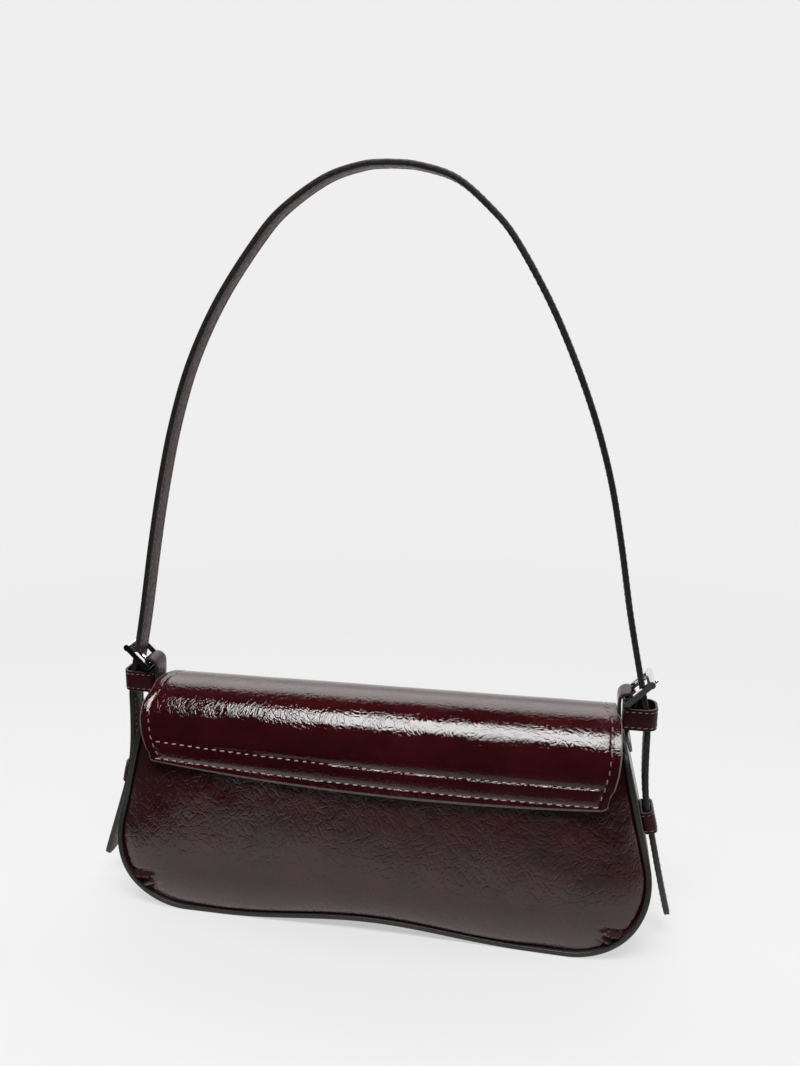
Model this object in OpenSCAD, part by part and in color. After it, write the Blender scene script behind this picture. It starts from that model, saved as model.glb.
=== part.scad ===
// Baguette shoulder bag: soft body, roll-over flap, and a strap held by two prong buckles.
// X runs along the bag, the front faces -Y, and the bag stands on Z = 0.

/* [Bag body] */
// Width of the bag at its widest
body_w = 282; // [250:1:310]
// Width between the side seams at the mouth
mouth_w = 252.4; // [249:0.2:256]
// Height of the mouth above the floor
mouth_z = 106; // [96:1:107]
// Depth of the bag across its raised seams, at the bottom
body_d = 55; // [46:1:60]
// Depth of the bag across its raised seams, at its waist
waist_d = 39; // [36:0.5:44]
// Height up to which the ends narrow from the bottom's depth to the waist's
waist_z = 60; // [50:1:66]
// Height at which that narrowing starts
flare_z = 12; // [6:1:20]
// Radius of the lower corners
corner_r = 40; // [32:0.5:44]
// Rise of the bottom edge at the middle
arch_h = 4.7; // [2:0.1:8]
// Length of each flat stretch that the bag stands on
foot_len = 20; // [14:1:26]
// How far the panels swell beyond their seams
panel_swell = 6.7; // [3:0.1:7.2]
// Height at which the panels swell most
swell_z = 45; // [35:1:55]
// How much the panels draw in again at the mouth
mouth_draw = 7.2; // [5:0.1:10]
// Distance over which a panel falls away to its side seam
side_fall = 14; // [8:0.5:20]
// Height at which the end strips' shoulders start
shoulder_low = 80; // [74:1:86]
// Height at which the end strips reach the tab's width
shoulder_z = 109; // [107.5:0.1:110]

/* [Leather and lining] */
// Thickness of the panel leather
panel_t = 1.6; // [1.2:0.1:1.8]
// Thickness of the gusset leather
gusset_t = 1.6; // [1.2:0.1:2]
// Height of the raised edge-to-edge seam
seam_h = 3.2; // [2:0.1:4]
// Thickness of the padding between leather and lining
padding_t = 1.6; // [1.2:0.1:2.4]
// Thickness of the lining
lining_t = 0.6; // [0.4:0.1:1]
// Height of the leather facings inside the mouth
facing_h = 9; // [6:0.5:10]
// Thickness of the board in the bottom
board_t = 1.6; // [1:0.1:2.4]
// Width of the board in the bottom
board_w = 40; // [30:1:42]
// Width of the pocket on the back lining
pocket_w = 130; // [80:1:150]
// Height of the pocket's lower edge
pocket_z = 28; // [22:1:35]
// Height of the pocket
pocket_h = 62; // [40:1:68]

/* [Flap] */
// Radius of the roll over the top, to its outer face
roll_r = 30; // [29.9:0.1:31]
// Height of the roll's axis
roll_z = 94; // [90:1:96]
// Thickness of the flap's outer leather
flap_t = 1.3; // [1:0.1:1.5]
// Thickness of the flap's lining
flap_lining_t = 1.2; // [1:0.1:1.2]
// How far the flap stands off for each millimetre below the roll's axis
flap_flare = 0.12; // [0.1:0.01:0.2]
// Height of the flap's lower edge at the middle
flap_low = 81.2; // [79:0.1:82]
// Height of the flap's sewn edge at the back
yoke_low = 73.4; // [68:0.1:78]
// Largest opening of the flap
flap_open = 130; // [60:5:130]
// Rise of the flap's lower edge from the middle to the corners
flap_bow = 4.6; // [2:0.1:5]
// Flap width over the roll
flap_roll_w = 239; // [236:0.5:239.6]
// Flap width at its widest, in front
flap_front_w = 245.4; // [242:0.2:246]
// Flap width at its lower corners
flap_corner_w = 235; // [228:0.5:238]
// Radius of the flap's lower corners
flap_corner_r = 5; // [3:0.5:8]
// Height of the closing magnets
magnet_z = 88; // [87.5:0.1:88.2]
// Radius of the closing magnets
magnet_r = 5.2; // [4:0.1:5.3]
// Thickness of the magnet in the flap
flap_magnet_t = 0.9; // [0.6:0.1:0.9]
// Thickness of the magnet behind the front panel
panel_magnet_t = 0.8; // [0.6:0.05:0.85]

/* [Strap] */
// Width of the strap
strap_w = 12.5; // [11:0.1:13]
// Thickness of the strap
strap_t = 2.8; // [2.2:0.1:3]
// Height of the strap's highest point
strap_top = 383; // [340:1:420]
// Width across the strap's arch at its foot
arch_w = 250.5; // [248:0.5:253]
// Height of the arch's widest level
arch_foot_z = 130; // [125:1:135]
// Height where the arch starts to run out to the buckle
arch_end_z = 200; // [192:1:212]
// Distance of the strap from the middle where it passes the upper keeper
strap_out = 134.9; // [134.5:0.1:135.5]
// Distance of each strap end beyond the body's widest place
tail_stand = 13.4; // [10:0.1:16]
// Height of each strap end above the floor
tail_z = 14; // [6:0.5:20]

/* [Tabs and keepers] */
// Thickness of one layer of the tab
tab_t = 2.2; // [1.8:0.1:2.4]
// Distance of the tab's inner layer from the middle
tab_in = 121.9; // [121.6:0.1:122.2]
// Radius of the tab's loop round the heel bar, to the leather's middle
loop_r = 3.9; // [3.8:0.05:4]
// Height of the axis about which the strap swings
swing_z = 113; // [112.5:0.1:114]
// Largest swing of the strap either way
swing_max = 45; // [20:1:45]
// Lower edge of the upper keepers
keeper_z = 116; // [115.8:0.1:117]
// Height of the upper keepers
keeper_h = 9; // [7:0.1:9]
// Thickness of a keeper's leather
keeper_t = 1.2; // [1:0.1:1.3]
// Room between the strap and the upper keeper's outer side
keeper_room = 2.4; // [0.6:0.1:2.8]
// Height of the lower keepers' middle
low_keeper_z = 65.5; // [60:0.5:72]
// Height of the lower keepers
low_keeper_h = 10; // [7:0.5:12]

/* [Buckles] */
// Height of the heel bar
heel_z = 130; // [129:0.1:131]
// Lean of the buckle from the floor's plane
buckle_lean = 45; // [42:0.5:48]
// Distance from the heel bar to the front bar
buckle_l = 14.8; // [14.4:0.1:15.6]
// Radius of the heel bar
heel_r = 1.3; // [1:0.05:1.4]
// Radius of the front bar
front_bar_r = 1.9; // [1.5:0.05:2]
// Width of each side bar
side_bar_w = 2.1; // [1.6:0.1:2.6]
// Thickness of each side bar
side_bar_t = 3; // [2:0.1:3.2]
// Radius of the prong
prong_r = 1; // [0.8:0.05:1.1]
// Width of the prong's eye
prong_eye_w = 3.2; // [2.4:0.1:3.4]
// Wall of the prong's eye
prong_eye_t = 1.1; // [0.9:0.05:1.2]
// Smallest turn of a buckle, towards the strap
buckle_back = 2; // [1:0.5:2]
// Largest turn of a buckle with its prong, away from the strap
prong_away = 11; // [6:0.5:11]

/* [Hidden] */

wine = [0.24, 0.05, 0.07];
wine_dark = [0.17, 0.04, 0.05];
edge_grey = [0.20, 0.20, 0.19];
chrome = [0.80, 0.81, 0.83];
cloth = [0.16, 0.14, 0.14];
board = [0.55, 0.50, 0.42];

// Clearances
seam_gap = 0.05;      // between layers that are sewn face to face
soft_gap = 0.3;       // between soft pieces that move past each other
facet_gap = 0.45;     // between a panel's flat facets and a rigid piece behind them
bar_gap = 0.08;       // round the heel bar
inset_step = 4.5;     // where the panel leaves its seam
cut = 400;            // longer than anything that it cuts

// Steps of the lofts
side_steps = 6;
arc_steps = 8;
bottom_steps = 7;
ring_steps = 5;
path_steps = 40;

half_w = body_w / 2;
tail_out = half_w + tail_stand;
half_d = body_d / 2;
half_strap = strap_w / 2;
corner_x = half_w - corner_r;

function lerp(a, b, t) = a + (b - a) * t;
function bezier(a, b, c, d, t) =
    pow(1 - t, 3) * a + 3 * t * pow(1 - t, 2) * b + 3 * t * t * (1 - t) * c + pow(t, 3) * d;

// The side seam runs straight from the mouth to the lower corner's arc
mouth_pt = [mouth_w / 2, mouth_z];
corner_pt = [corner_x, corner_r];
to_corner = corner_pt - mouth_pt;
corner_dist = norm(to_corner);
side_dir_angle = atan2(to_corner[1], to_corner[0]) + asin(corner_r / corner_dist);
side_dir = [cos(side_dir_angle), sin(side_dir_angle)];
side_normal_angle = side_dir_angle + 90;
side_len = sqrt(corner_dist * corner_dist - corner_r * corner_r);
tangent_pt = mouth_pt + side_dir * side_len;

function side_x(z) = mouth_pt[0] + (z - mouth_z) * side_dir[0] / side_dir[1];
function half_width(z) = z >= tangent_pt[1] ? side_x(z)
    : corner_x + sqrt(max(0, corner_r * corner_r - pow(corner_r - z, 2)));

// Half the gusset's width: full at the bottom, narrower at the waist, then a shoulder to the tab
function clip(t) = max(0, min(1, t));
function ease(t) = let(c = clip(t)) c * c * (3 - 2 * c);
function strip_half(z) = lerp(half_d, waist_d / 2, ease((z - flare_z) / (waist_z - flare_z)));
function seam_depth(z) = let(t = clip((z - shoulder_low) / (shoulder_z - shoulder_low)))
    half_strap + (strip_half(z) - half_strap) * sqrt(1 - pow(t, 3));
function seam_base(z) = seam_depth(z) - seam_h;
function swell(z) = z < swell_z ? (half_d - seam_h) + panel_swell * sin(90 * max(0, z) / swell_z)
    : half_d - seam_h + panel_swell - mouth_draw * pow((z - swell_z) / (mouth_z - swell_z), 2);
function panel_y(x, z) = let(fade = exp(-max(0, half_width(z) - abs(x)) / side_fall))
    swell(z) - (swell(z) - seam_base(z)) * fade;

// Outline stations of the right half, from the mouth to the middle: point, then outward normal
bow_x = corner_x - foot_len;
side_stations = [for (i = [0 : side_steps - 1]) let(p = lerp(mouth_pt, tangent_pt, i / side_steps))
    [p[0], p[1], cos(side_normal_angle), sin(side_normal_angle)]];
arc_stations = [for (i = [0 : arc_steps]) let(a = lerp(side_normal_angle, -90, i / arc_steps))
    [corner_x + corner_r * cos(a), corner_r + corner_r * sin(a), cos(a), sin(a)]];
bottom_stations = [for (i = [0 : bottom_steps]) let(x = bow_x * (1 - i / bottom_steps))
    [x, arch_h * pow(cos(90 * x / bow_x), 2), 0, -1]];
half_stations = concat(side_stations, arc_stations, bottom_stations);
half_count = len(half_stations) - 1;
stations = concat(half_stations,
    [for (i = [half_count - 1 : -1 : 0]) let(s = half_stations[i]) [-s[0], s[1], -s[2], s[3]]]);
station_count = len(stations) - 1;

function station(i, inset) = let(s = stations[i]) [s[0] - s[2] * inset, s[1] - s[3] * inset];
function station_target(i, inset) = let(top_x = mouth_pt[0] - inset - inset_step)
    [top_x * (1 - i / half_count), mouth_z];

// A closed solid between two grids of points of the same size
module loft(a, b, flip = false) {
    n = len(a);
    m = len(a[0]);
    pts = concat([for (r = a) each r], [for (r = b) each r]);
    o = n * m;
    top = [for (i = [0 : n - 2], j = [0 : m - 2]) let(k = i * m + j)
        each [[k, k + 1, k + m + 1], [k, k + m + 1, k + m]]];
    low = [for (i = [0 : n - 2], j = [0 : m - 2]) let(k = o + i * m + j)
        each [[k, k + m + 1, k + 1], [k, k + m, k + m + 1]]];
    ends = [for (j = [0 : m - 2]) let(k = j, l = (n - 1) * m + j)
        each [[k, o + k + 1, k + 1], [k, o + k, o + k + 1],
            [l, l + 1, o + l + 1], [l, o + l + 1, o + l]]];
    sides = [for (i = [0 : n - 2]) let(k = i * m, l = i * m + m - 1)
        each [[k, k + m, o + k + m], [k, o + k + m, o + k],
            [l, o + l + m, l + m], [l, o + l, o + l + m]]];
    tris = concat(top, low, ends, sides);
    polyhedron(pts, flip ? [for (t = tris) [t[0], t[2], t[1]]] : tris);
}

// One face of a panel: the raised seam, then rings that run in to the mouth's edge
function panel_face(seam_inset, edge_inset, depth) = [for (i = [0 : station_count])
    let(tip = station(i, seam_inset), start = station(i, edge_inset), z = stations[i][1],
        target = station_target(i, edge_inset))
    concat([[tip[0], -seam_depth(z), tip[1]], [tip[0], -seam_base(z) + depth, tip[1]]],
        [for (k = [0 : ring_steps]) let(p = lerp(start, target, pow(k / ring_steps, 1.3)))
            [p[0], -panel_y(p[0], p[1]) + depth, p[1]]])];

module panel() {
    inner = gusset_t + seam_gap;
    loft(panel_face(inner + panel_t, inner + inset_step, 0), panel_face(inner, inner + inset_step, panel_t));
}

// Lining: the same form, moved in by the leather and the padding
function lining_face(inset, depth) = [for (i = [0 : station_count])
    let(start = station(i, inset), target = station_target(i, inset))
    [for (k = [0 : ring_steps]) let(p = lerp(start, target, pow(k / ring_steps, 1.3)))
        [p[0], -panel_y(p[0], p[1]) + depth, p[1]]]];
lining_depth = panel_t + padding_t;
lining_inset = gusset_t + seam_gap + inset_step + panel_t;

module panel_lining() {
    loft(lining_face(lining_inset, lining_depth), lining_face(lining_inset, lining_depth + lining_t));
}

// A band round the outline, between two insets, as wide as given at each height
function band_row(s, inset, half) = let(x = s[0] - s[2] * inset, z = s[1] - s[3] * inset)
    [[x, -half, z], [x, half, z]];

shoulder_rows = [for (k = [1, 0.5]) let(z = lerp(mouth_z, shoulder_z, k))
    [side_x(z), z, cos(side_normal_angle), sin(side_normal_angle)]];
gusset_rows = concat(shoulder_rows, stations,
    [for (i = [1, 0]) let(s = shoulder_rows[i]) [-s[0], s[1], -s[2], s[3]]]);

// Everything that the strap's foot passes over as it swings
module swing_sweep() {
    r = half_strap + soft_gap;
    translate([0, 0, swing_z]) {
        rotate([0, 90, 0]) cylinder(r = r, h = cut, center = true, $fn = 48);
        for (a = [-swing_max, swing_max]) {
            rotate([a, 0, 0]) translate([-cut / 2, -r, 0]) cube([cut, 2 * r, 3 * r]);
        }
    }
}

module gusset() {
    color(wine_dark) difference() {
        loft([for (s = gusset_rows) band_row(s, 0, seam_depth(s[1]))],
            [for (s = gusset_rows) band_row(s, gusset_t, seam_depth(s[1]))], true);
        swing_sweep();
    }
}

lining_band_inset = gusset_t + seam_gap + panel_t + padding_t;
module lining_gusset() {
    color(cloth)
    loft([for (s = stations) band_row(s, lining_band_inset, lining_half(s))],
        [for (s = stations) band_row(s, lining_band_inset + lining_t, lining_half(s))], true);
}
function lining_half(s) = panel_y(s[0] - s[2] * lining_band_inset, s[1] - s[3] * lining_band_inset)
    - lining_depth - lining_t - seam_gap;

module front_panel() {
    color(wine) panel();
}

module back_panel() {
    color(wine) mirror([0, 1, 0]) panel();
}

module lining_front() {
    color(cloth) panel_lining();
}

module lining_back() {
    color(cloth) mirror([0, 1, 0]) panel_lining();
}

// The board follows the arch of the bottom, on the lining
board_lift = lining_band_inset + lining_t + seam_gap;
function arch_z(x) = abs(x) >= bow_x ? 0 : arch_h * pow(cos(90 * x / bow_x), 2);
module base_board() {
    xs = [for (s = stations) if (abs(s[0]) <= corner_x + 0.01 && s[1] <= arch_h + 0.01) s[0]];
    color(board) rotate([90, 0, 0]) linear_extrude(height = board_w, center = true)
        polygon(concat([for (x = xs) [x, arch_z(x) + board_lift]],
            [for (i = [len(xs) - 1 : -1 : 0]) [xs[i], arch_z(xs[i]) + board_lift + board_t]]));
}

// A patch that follows the panel at a depth behind its face, with closer rows towards its ends
function patch_face(w, low, high, depth, across, up) = [for (i = [0 : across])
    [for (j = [0 : up]) let(x = w / 2 * sin(90 * (1 - 2 * i / across)), z = lerp(low, high, j / up))
        [x, -panel_y(x, z) + depth, z]]];
module patch(w, low, high, near, far, across, up) {
    loft(patch_face(w, low, high, near, across, up), patch_face(w, low, high, far, across, up));
}

module slip_pocket() {
    near = lining_depth + lining_t + soft_gap;
    color(cloth) mirror([0, 1, 0])
        patch(pocket_w, pocket_z, pocket_z + pocket_h, near, near + lining_t, 8, 8);
}

// Facings: strips that join leather and lining round the mouth
module facing() {
    color(wine_dark) patch(mouth_w - 4 * lining_inset, mouth_z - facing_h, mouth_z,
        panel_t + soft_gap, lining_depth - soft_gap, 16, 3);
}

// The flap's section in the YZ plane: a roll, then a nearly straight front, between two radii
roll_steps = 36;
front_drop = roll_z - flap_low;
function flap_y(z, r) = r + (roll_z - z) * flap_flare;
function roll_points(r) = [for (i = [0 : roll_steps]) let(a = 180 * i / roll_steps)
    [r * cos(a), roll_z + r * sin(a)]];
module flap_section(r_out, r_in) {
    polygon(concat(roll_points(r_out), [[-flap_y(flap_low, r_out), flap_low], [-flap_y(flap_low, r_in), flap_low]],
        [for (i = [roll_steps : -1 : 0]) roll_points(r_in)[i]]));
}

// The flap's outline seen from the front
flap_corner_z = flap_low + flap_bow;
widest_z = roll_z + 17;
flap_sides = [for (i = [0 : 6]) bezier([flap_corner_w / 2, flap_corner_z + flap_corner_r],
    [flap_corner_w / 2 + 2, flap_corner_z + 12], [flap_front_w / 2, widest_z - 12],
    [flap_front_w / 2, widest_z], i / 6)];
flap_corner = [for (i = [0 : 5]) let(a = -90 * (1 - i / 5))
    [flap_corner_w / 2 - flap_corner_r * (1 - cos(a)), flap_corner_z + flap_corner_r * (1 + sin(a))]];
flap_edge_n = 9;
flap_edge = [for (i = [0 : flap_edge_n - 1]) let(x = (flap_corner_w / 2 - flap_corner_r) * i / flap_edge_n)
    [x, flap_low + flap_bow * pow(x / (flap_corner_w / 2 - flap_corner_r), 2)]];
flap_half = concat(flap_edge, flap_corner, [for (i = [1 : 6]) flap_sides[i]],
    [[flap_front_w / 2, roll_z + roll_r + 1]]);
module flap_outline() {
    rotate([90, 0, 0]) linear_extrude(height = cut, center = true)
        polygon(concat(flap_half, [for (i = [len(flap_half) - 1 : -1 : 1]) [-flap_half[i][0], flap_half[i][1]]]));
}

roll_in = roll_r - flap_t;
lining_out = roll_in - seam_gap;
lining_in = lining_out - flap_lining_t;
hinge_y = (roll_r + lining_in) / 2;
hinge_r = (roll_r - lining_in) / 2;

// The flap is narrower wherever it passes the tabs as it opens
tab_pass_r = norm([hinge_y + half_strap, heel_z + loop_r + tab_t / 2 - roll_z]) + soft_gap;
module flap_layer(r_out, r_in) {
    difference() {
        intersection() {
            rotate([90, 0, 90]) linear_extrude(height = cut, center = true) flap_section(r_out, r_in);
            flap_outline();
        }
        for (side = [-1, 1]) translate([side * (flap_roll_w / 2 + 10), hinge_y, roll_z]) rotate([0, 90, 0])
            cylinder(r = tab_pass_r, h = 20, center = true, $fn = 96);
    }
}

module magnet_place(y) {
    translate([0, y, magnet_z]) rotate([90, 0, 0]) rotate([-atan(flap_flare), 0, 0]) children();
}

// The magnet lies in a pocket cut into the flap's lining
flap_magnet_y = -flap_y(magnet_z, lining_out);
module flap_magnet_body(gap) {
    magnet_place(flap_magnet_y + seam_gap)
        translate([0, 0, -flap_magnet_t - gap]) cylinder(r = magnet_r + gap, h = flap_magnet_t + 2 * gap, $fn = 48);
}

module flap_outer() {
    color(wine) flap_layer(roll_r, roll_in);
}

module flap_lining() {
    color(wine_dark) difference() {
        flap_layer(lining_out, lining_in);
        flap_magnet_body(seam_gap * 2);
    }
}

module flap_magnet() {
    color(chrome) flap_magnet_body(0);
}

module panel_magnet() {
    color(chrome) translate([0, -panel_y(0, magnet_z) + panel_t + facet_gap, magnet_z])
        rotate([-90, 0, 0]) rotate([-panel_slope, 0, 0]) cylinder(r = magnet_r, h = panel_magnet_t, $fn = 48);
}
panel_slope = atan((panel_y(0, magnet_z - 1) - panel_y(0, magnet_z + 1)) / 2);

// The flap's tail end, sewn to the back panel below the bend
module back_yoke() {
    color(wine) difference() {
        mirror([0, 1, 0]) patch(flap_roll_w, yoke_low, roll_z, -soft_gap - 2 * hinge_r, -soft_gap, 16, 4);
        translate([0, hinge_y, roll_z]) {
            rotate([0, 90, 0]) cylinder(r = hinge_r + soft_gap, h = cut, center = true, $fn = 48);
            rotate([90 - flap_open, 0, 0])
                translate([-cut / 2, 0, -hinge_r - soft_gap]) cube([cut, 20, 20]);
        }
    }
}

// The strap's centre line, right half, from its highest point down to its end
arch_a = arch_w / 2 - strap_t / 2;
arch_b = strap_top - arch_foot_z - strap_t / 2;
arch_end_sin = (arch_end_z - arch_foot_z) / arch_b;
arch_end_angle = asin(arch_end_sin);
arch_end = [arch_a * cos(arch_end_angle), arch_end_z];
arch_end_dir = [arch_a * sin(arch_end_angle), -arch_b * cos(arch_end_angle)];
run_out = arch_end_dir / norm(arch_end_dir);
keeper_top_pt = [strap_out, keeper_z + keeper_h / 2];
split_pt = [strap_out + 0.4, swing_z];
low_keeper_x = side_x(low_keeper_z);
low_keeper_off = seam_gap + keeper_t + soft_gap + strap_t / 2;
low_keeper_pt = [low_keeper_x + low_keeper_off * cos(side_normal_angle),
    low_keeper_z + low_keeper_off * sin(side_normal_angle)];
tail_end = [tail_out, tail_z];

arch_path = [for (i = [0 : path_steps]) let(a = lerp(90, arch_end_angle, i / path_steps))
    [arch_a * cos(a), arch_foot_z + arch_b * sin(a)]];
run_path = [for (i = [1 : 14]) bezier(arch_end, arch_end + run_out * 27,
    keeper_top_pt + [-4.5, 27], keeper_top_pt, i / 14)];
foot_path = [for (i = [1 : 3]) lerp(keeper_top_pt, split_pt, i / 3)];
below = [split_pt[0] + 0.1, swing_z - strap_w];
upper_tail = [for (i = [0 : 8]) bezier(split_pt, split_pt + [0.2, -18],
    low_keeper_pt - side_dir * 14, low_keeper_pt, i / 8)];
lower_tail = [for (i = [1 : 8]) bezier(low_keeper_pt, low_keeper_pt + side_dir * 10,
    tail_end + [-3, 10], tail_end, i / 8)];

// A band of constant thickness along a path in the XZ plane
function path_dir(p, i) = let(a = p[max(0, i - 1)], b = p[min(len(p) - 1, i + 1)]) (b - a) / norm(b - a);
function path_side(p, t) = [for (i = [0 : len(p) - 1]) let(d = path_dir(p, i)) p[i] + [-d[1], d[0]] * t];
module ribbon(p, t, w) {
    left = path_side(p, t / 2);
    right = path_side(p, -t / 2);
    rotate([90, 0, 0]) linear_extrude(height = w, center = true)
        polygon(concat(left, [for (i = [len(p) - 1 : -1 : 0]) right[i]]));
}

module buckle_place(side) {
    mirror([side < 0 ? 1 : 0, 0, 0]) translate([heel_x, 0, heel_z]) rotate([0, -buckle_lean, 0]) children();
}

// Room that the prong needs as it turns with and on the buckle
prong_far = buckle_l + 1.2;
prong_start_z = -(heel_r + bar_gap);
prong_end_z = -(front_bar_r + prong_r + bar_gap * 2) * prong_far / buckle_l + prong_start_z * (1 - prong_far / buckle_l);
hole_far = 11;
hole_low = hole_far * 0.75 * tan(prong_away) - prong_end_z + prong_r;
hole_high = -prong_start_z - prong_r - hole_far * 0.75 * tan(buckle_back) - soft_gap;
module prong_room(from, to) {
    translate([from, -prong_r - 0.5, -hole_low])
        cube([to - from, 2 * prong_r + 1, hole_low - hole_high]);
}

module strap_arch() {
    right = concat(arch_path, run_path, foot_path, [below]);
    whole = concat([for (i = [len(right) - 1 : -1 : 1]) [-right[i][0], right[i][1]]], right);
    color(wine) difference() {
        intersection() {
            ribbon(whole, strap_t, strap_w);
            union() {
                translate([-cut / 2, -cut / 2, swing_z]) cube([cut, cut, cut]);
                translate([0, 0, swing_z]) rotate([0, 90, 0])
                    cylinder(r = half_strap, h = cut, center = true, $fn = 48);
            }
        }
        for (side = [-1, 1]) buckle_place(side) prong_room(4, hole_far);
    }
}

module strap_tail() {
    color(wine) difference() {
        ribbon(concat(upper_tail, lower_tail), strap_t, strap_w);
        swing_sweep();
    }
}

// The tab: up from the gusset, round the heel bar, and down to be sewn to itself
heel_x = tab_in + loop_r - 0.8;
stem_low = [side_x(swing_z - half_strap) - gusset_t / 2, swing_z - half_strap - 0.5];
stem_mid = [tab_in + 0.6, swing_z + 0.5];
tab_up = [stem_low, stem_mid, [tab_in - 0.4, keeper_z + keeper_h * 0.6]];
tab_loop = [for (i = [0 : 12]) let(a = 180 - 15 * i) [heel_x + loop_r * cos(a), heel_z + loop_r * sin(a)]];
tab_down = [[heel_x + loop_r - 0.6, heel_z - 4], [tab_in + tab_t + keeper_t + 4 * soft_gap, keeper_z],
    [stem_mid[0] + tab_t, swing_z - 0.5], [stem_low[0] + tab_t, stem_low[1]]];
module tab() {
    prong_slot_x = 1;
    color(wine) difference() {
        intersection() {
            union() {
                ribbon(concat(tab_up, tab_loop), tab_t, strap_w);
                ribbon(concat([tab_loop[11], tab_loop[12]], tab_down), tab_t, strap_w);
            }
            union() {
                translate([0, -cut / 2, swing_z]) cube([cut, cut, cut]);
                translate([0, 0, swing_z]) rotate([0, 90, 0])
                    cylinder(r = half_strap, h = cut, center = true, $fn = 48);
            }
        }
        translate([heel_x, 0, heel_z]) rotate([0, -buckle_lean, 0]) prong_room(prong_slot_x, 8);
    }
}

// A rectangular loop of leather
module keeper_ring(x0, x1, h) {
    half = half_strap + soft_gap;
    translate([x0, 0, 0]) linear_extrude(height = h) difference() {
        translate([0, -half - keeper_t]) square([x1 - x0, 2 * (half + keeper_t)]);
        translate([keeper_t, -half]) square([x1 - x0 - 2 * keeper_t, 2 * half]);
    }
}

module keeper_upper() {
    color(wine_dark) translate([0, 0, keeper_z])
        keeper_ring(tab_in + tab_t / 2 + 0.35, strap_out + strap_t / 2 + keeper_room + keeper_t, keeper_h);
}

module keeper_lower() {
    color(wine_dark) translate([low_keeper_x, 0, low_keeper_z]) rotate([0, -side_normal_angle, 0])
        translate([0, 0, -low_keeper_h / 2])
            keeper_ring(seam_gap, seam_gap + 2 * (keeper_t + soft_gap) + strap_t + 0.4, low_keeper_h);
}

// Buckle: a slim frame with a round heel bar and a thicker front bar
eye_r = heel_r + bar_gap + prong_eye_t;
frame_in = half_strap + 1;
frame_out = frame_in + side_bar_w;
module buckle() {
    color(chrome) {
        for (s = [-1, 1]) translate([0, s * (frame_in + side_bar_w / 2), 0]) rotate([90, 0, 0])
            linear_extrude(height = side_bar_w, center = true) {
                circle(r = side_bar_t / 2 + 0.2, $fn = 32);
                translate([buckle_l, 0]) circle(r = front_bar_r, $fn = 32);
                translate([0, -side_bar_t / 2]) square([buckle_l, side_bar_t]);
            }
        rotate([90, 0, 0]) cylinder(r = heel_r, h = 2 * frame_in + side_bar_w, center = true, $fn = 32);
        translate([buckle_l, 0, 0]) rotate([90, 0, 0])
            cylinder(r = front_bar_r, h = 2 * frame_in + side_bar_w, center = true, $fn = 32);
    }
}

module prong() {
    length = norm([prong_far, prong_end_z - prong_start_z]);
    color(chrome) difference() {
        union() {
            rotate([90, 0, 0]) cylinder(r = eye_r, h = prong_eye_w, center = true, $fn = 40);
            translate([0, 0, prong_start_z]) rotate([0, 90 + atan((prong_start_z - prong_end_z) / prong_far), 0]) {
                cylinder(r = prong_r, h = length, $fn = 32);
                translate([0, 0, length]) sphere(r = prong_r, $fn = 32);
            }
        }
        rotate([90, 0, 0]) cylinder(r = heel_r + bar_gap, h = prong_eye_w + 2, center = true, $fn = 40);
    }
}

module left() {
    mirror([1, 0, 0]) children();
}

front_panel();
back_panel();
gusset();
lining_front();
lining_back();
lining_gusset();
facing();  // facing_front
mirror([0, 1, 0]) facing();  // facing_back
base_board();
slip_pocket();
panel_magnet();
back_yoke();
left() keeper_lower();  // keeper_lower_left
keeper_lower();  // keeper_lower_right
left() strap_tail();  // strap_tail_left
strap_tail();  // strap_tail_right
flap_outer();
flap_lining();
flap_magnet();
strap_arch();
left() tab();  // tab_left
tab();  // tab_right
left() keeper_upper();  // keeper_upper_left
keeper_upper();  // keeper_upper_right
buckle_place(-1) buckle();  // buckle_left
buckle_place(1) buckle();  // buckle_right
buckle_place(-1) prong();  // prong_left
buckle_place(1) prong();  // prong_right
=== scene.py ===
"""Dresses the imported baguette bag: patent leather, stitches, painted edges and chrome, in a pale studio."""

import logging
import math
from dataclasses import dataclass, field
from enum import Enum
from typing import Callable, Iterable, Mapping, Sequence, Union

import bmesh
import bpy
import numpy as np
from mathutils import Matrix, Vector, noise


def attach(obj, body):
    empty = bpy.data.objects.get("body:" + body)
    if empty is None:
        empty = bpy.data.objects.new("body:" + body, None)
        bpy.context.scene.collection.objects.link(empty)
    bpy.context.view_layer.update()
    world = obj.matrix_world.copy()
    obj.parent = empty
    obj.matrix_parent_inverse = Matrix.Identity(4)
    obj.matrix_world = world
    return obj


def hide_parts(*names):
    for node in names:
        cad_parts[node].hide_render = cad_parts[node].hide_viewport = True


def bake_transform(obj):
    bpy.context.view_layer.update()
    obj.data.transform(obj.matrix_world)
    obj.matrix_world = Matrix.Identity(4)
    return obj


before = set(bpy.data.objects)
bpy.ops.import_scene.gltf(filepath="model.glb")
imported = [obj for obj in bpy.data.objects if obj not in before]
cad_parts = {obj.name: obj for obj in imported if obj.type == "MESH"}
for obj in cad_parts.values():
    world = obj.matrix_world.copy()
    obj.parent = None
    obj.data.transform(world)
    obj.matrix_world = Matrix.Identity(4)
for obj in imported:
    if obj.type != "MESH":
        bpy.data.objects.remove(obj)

logging.basicConfig(level=logging.INFO, format="%(name)s: %(message)s")
log = logging.getLogger("bag")

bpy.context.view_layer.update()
MM = 0.001
Y_AXIS = np.array([0.0, 1.0, 0.0])
Number = Union[float, np.ndarray]


# Shader nodes


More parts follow.
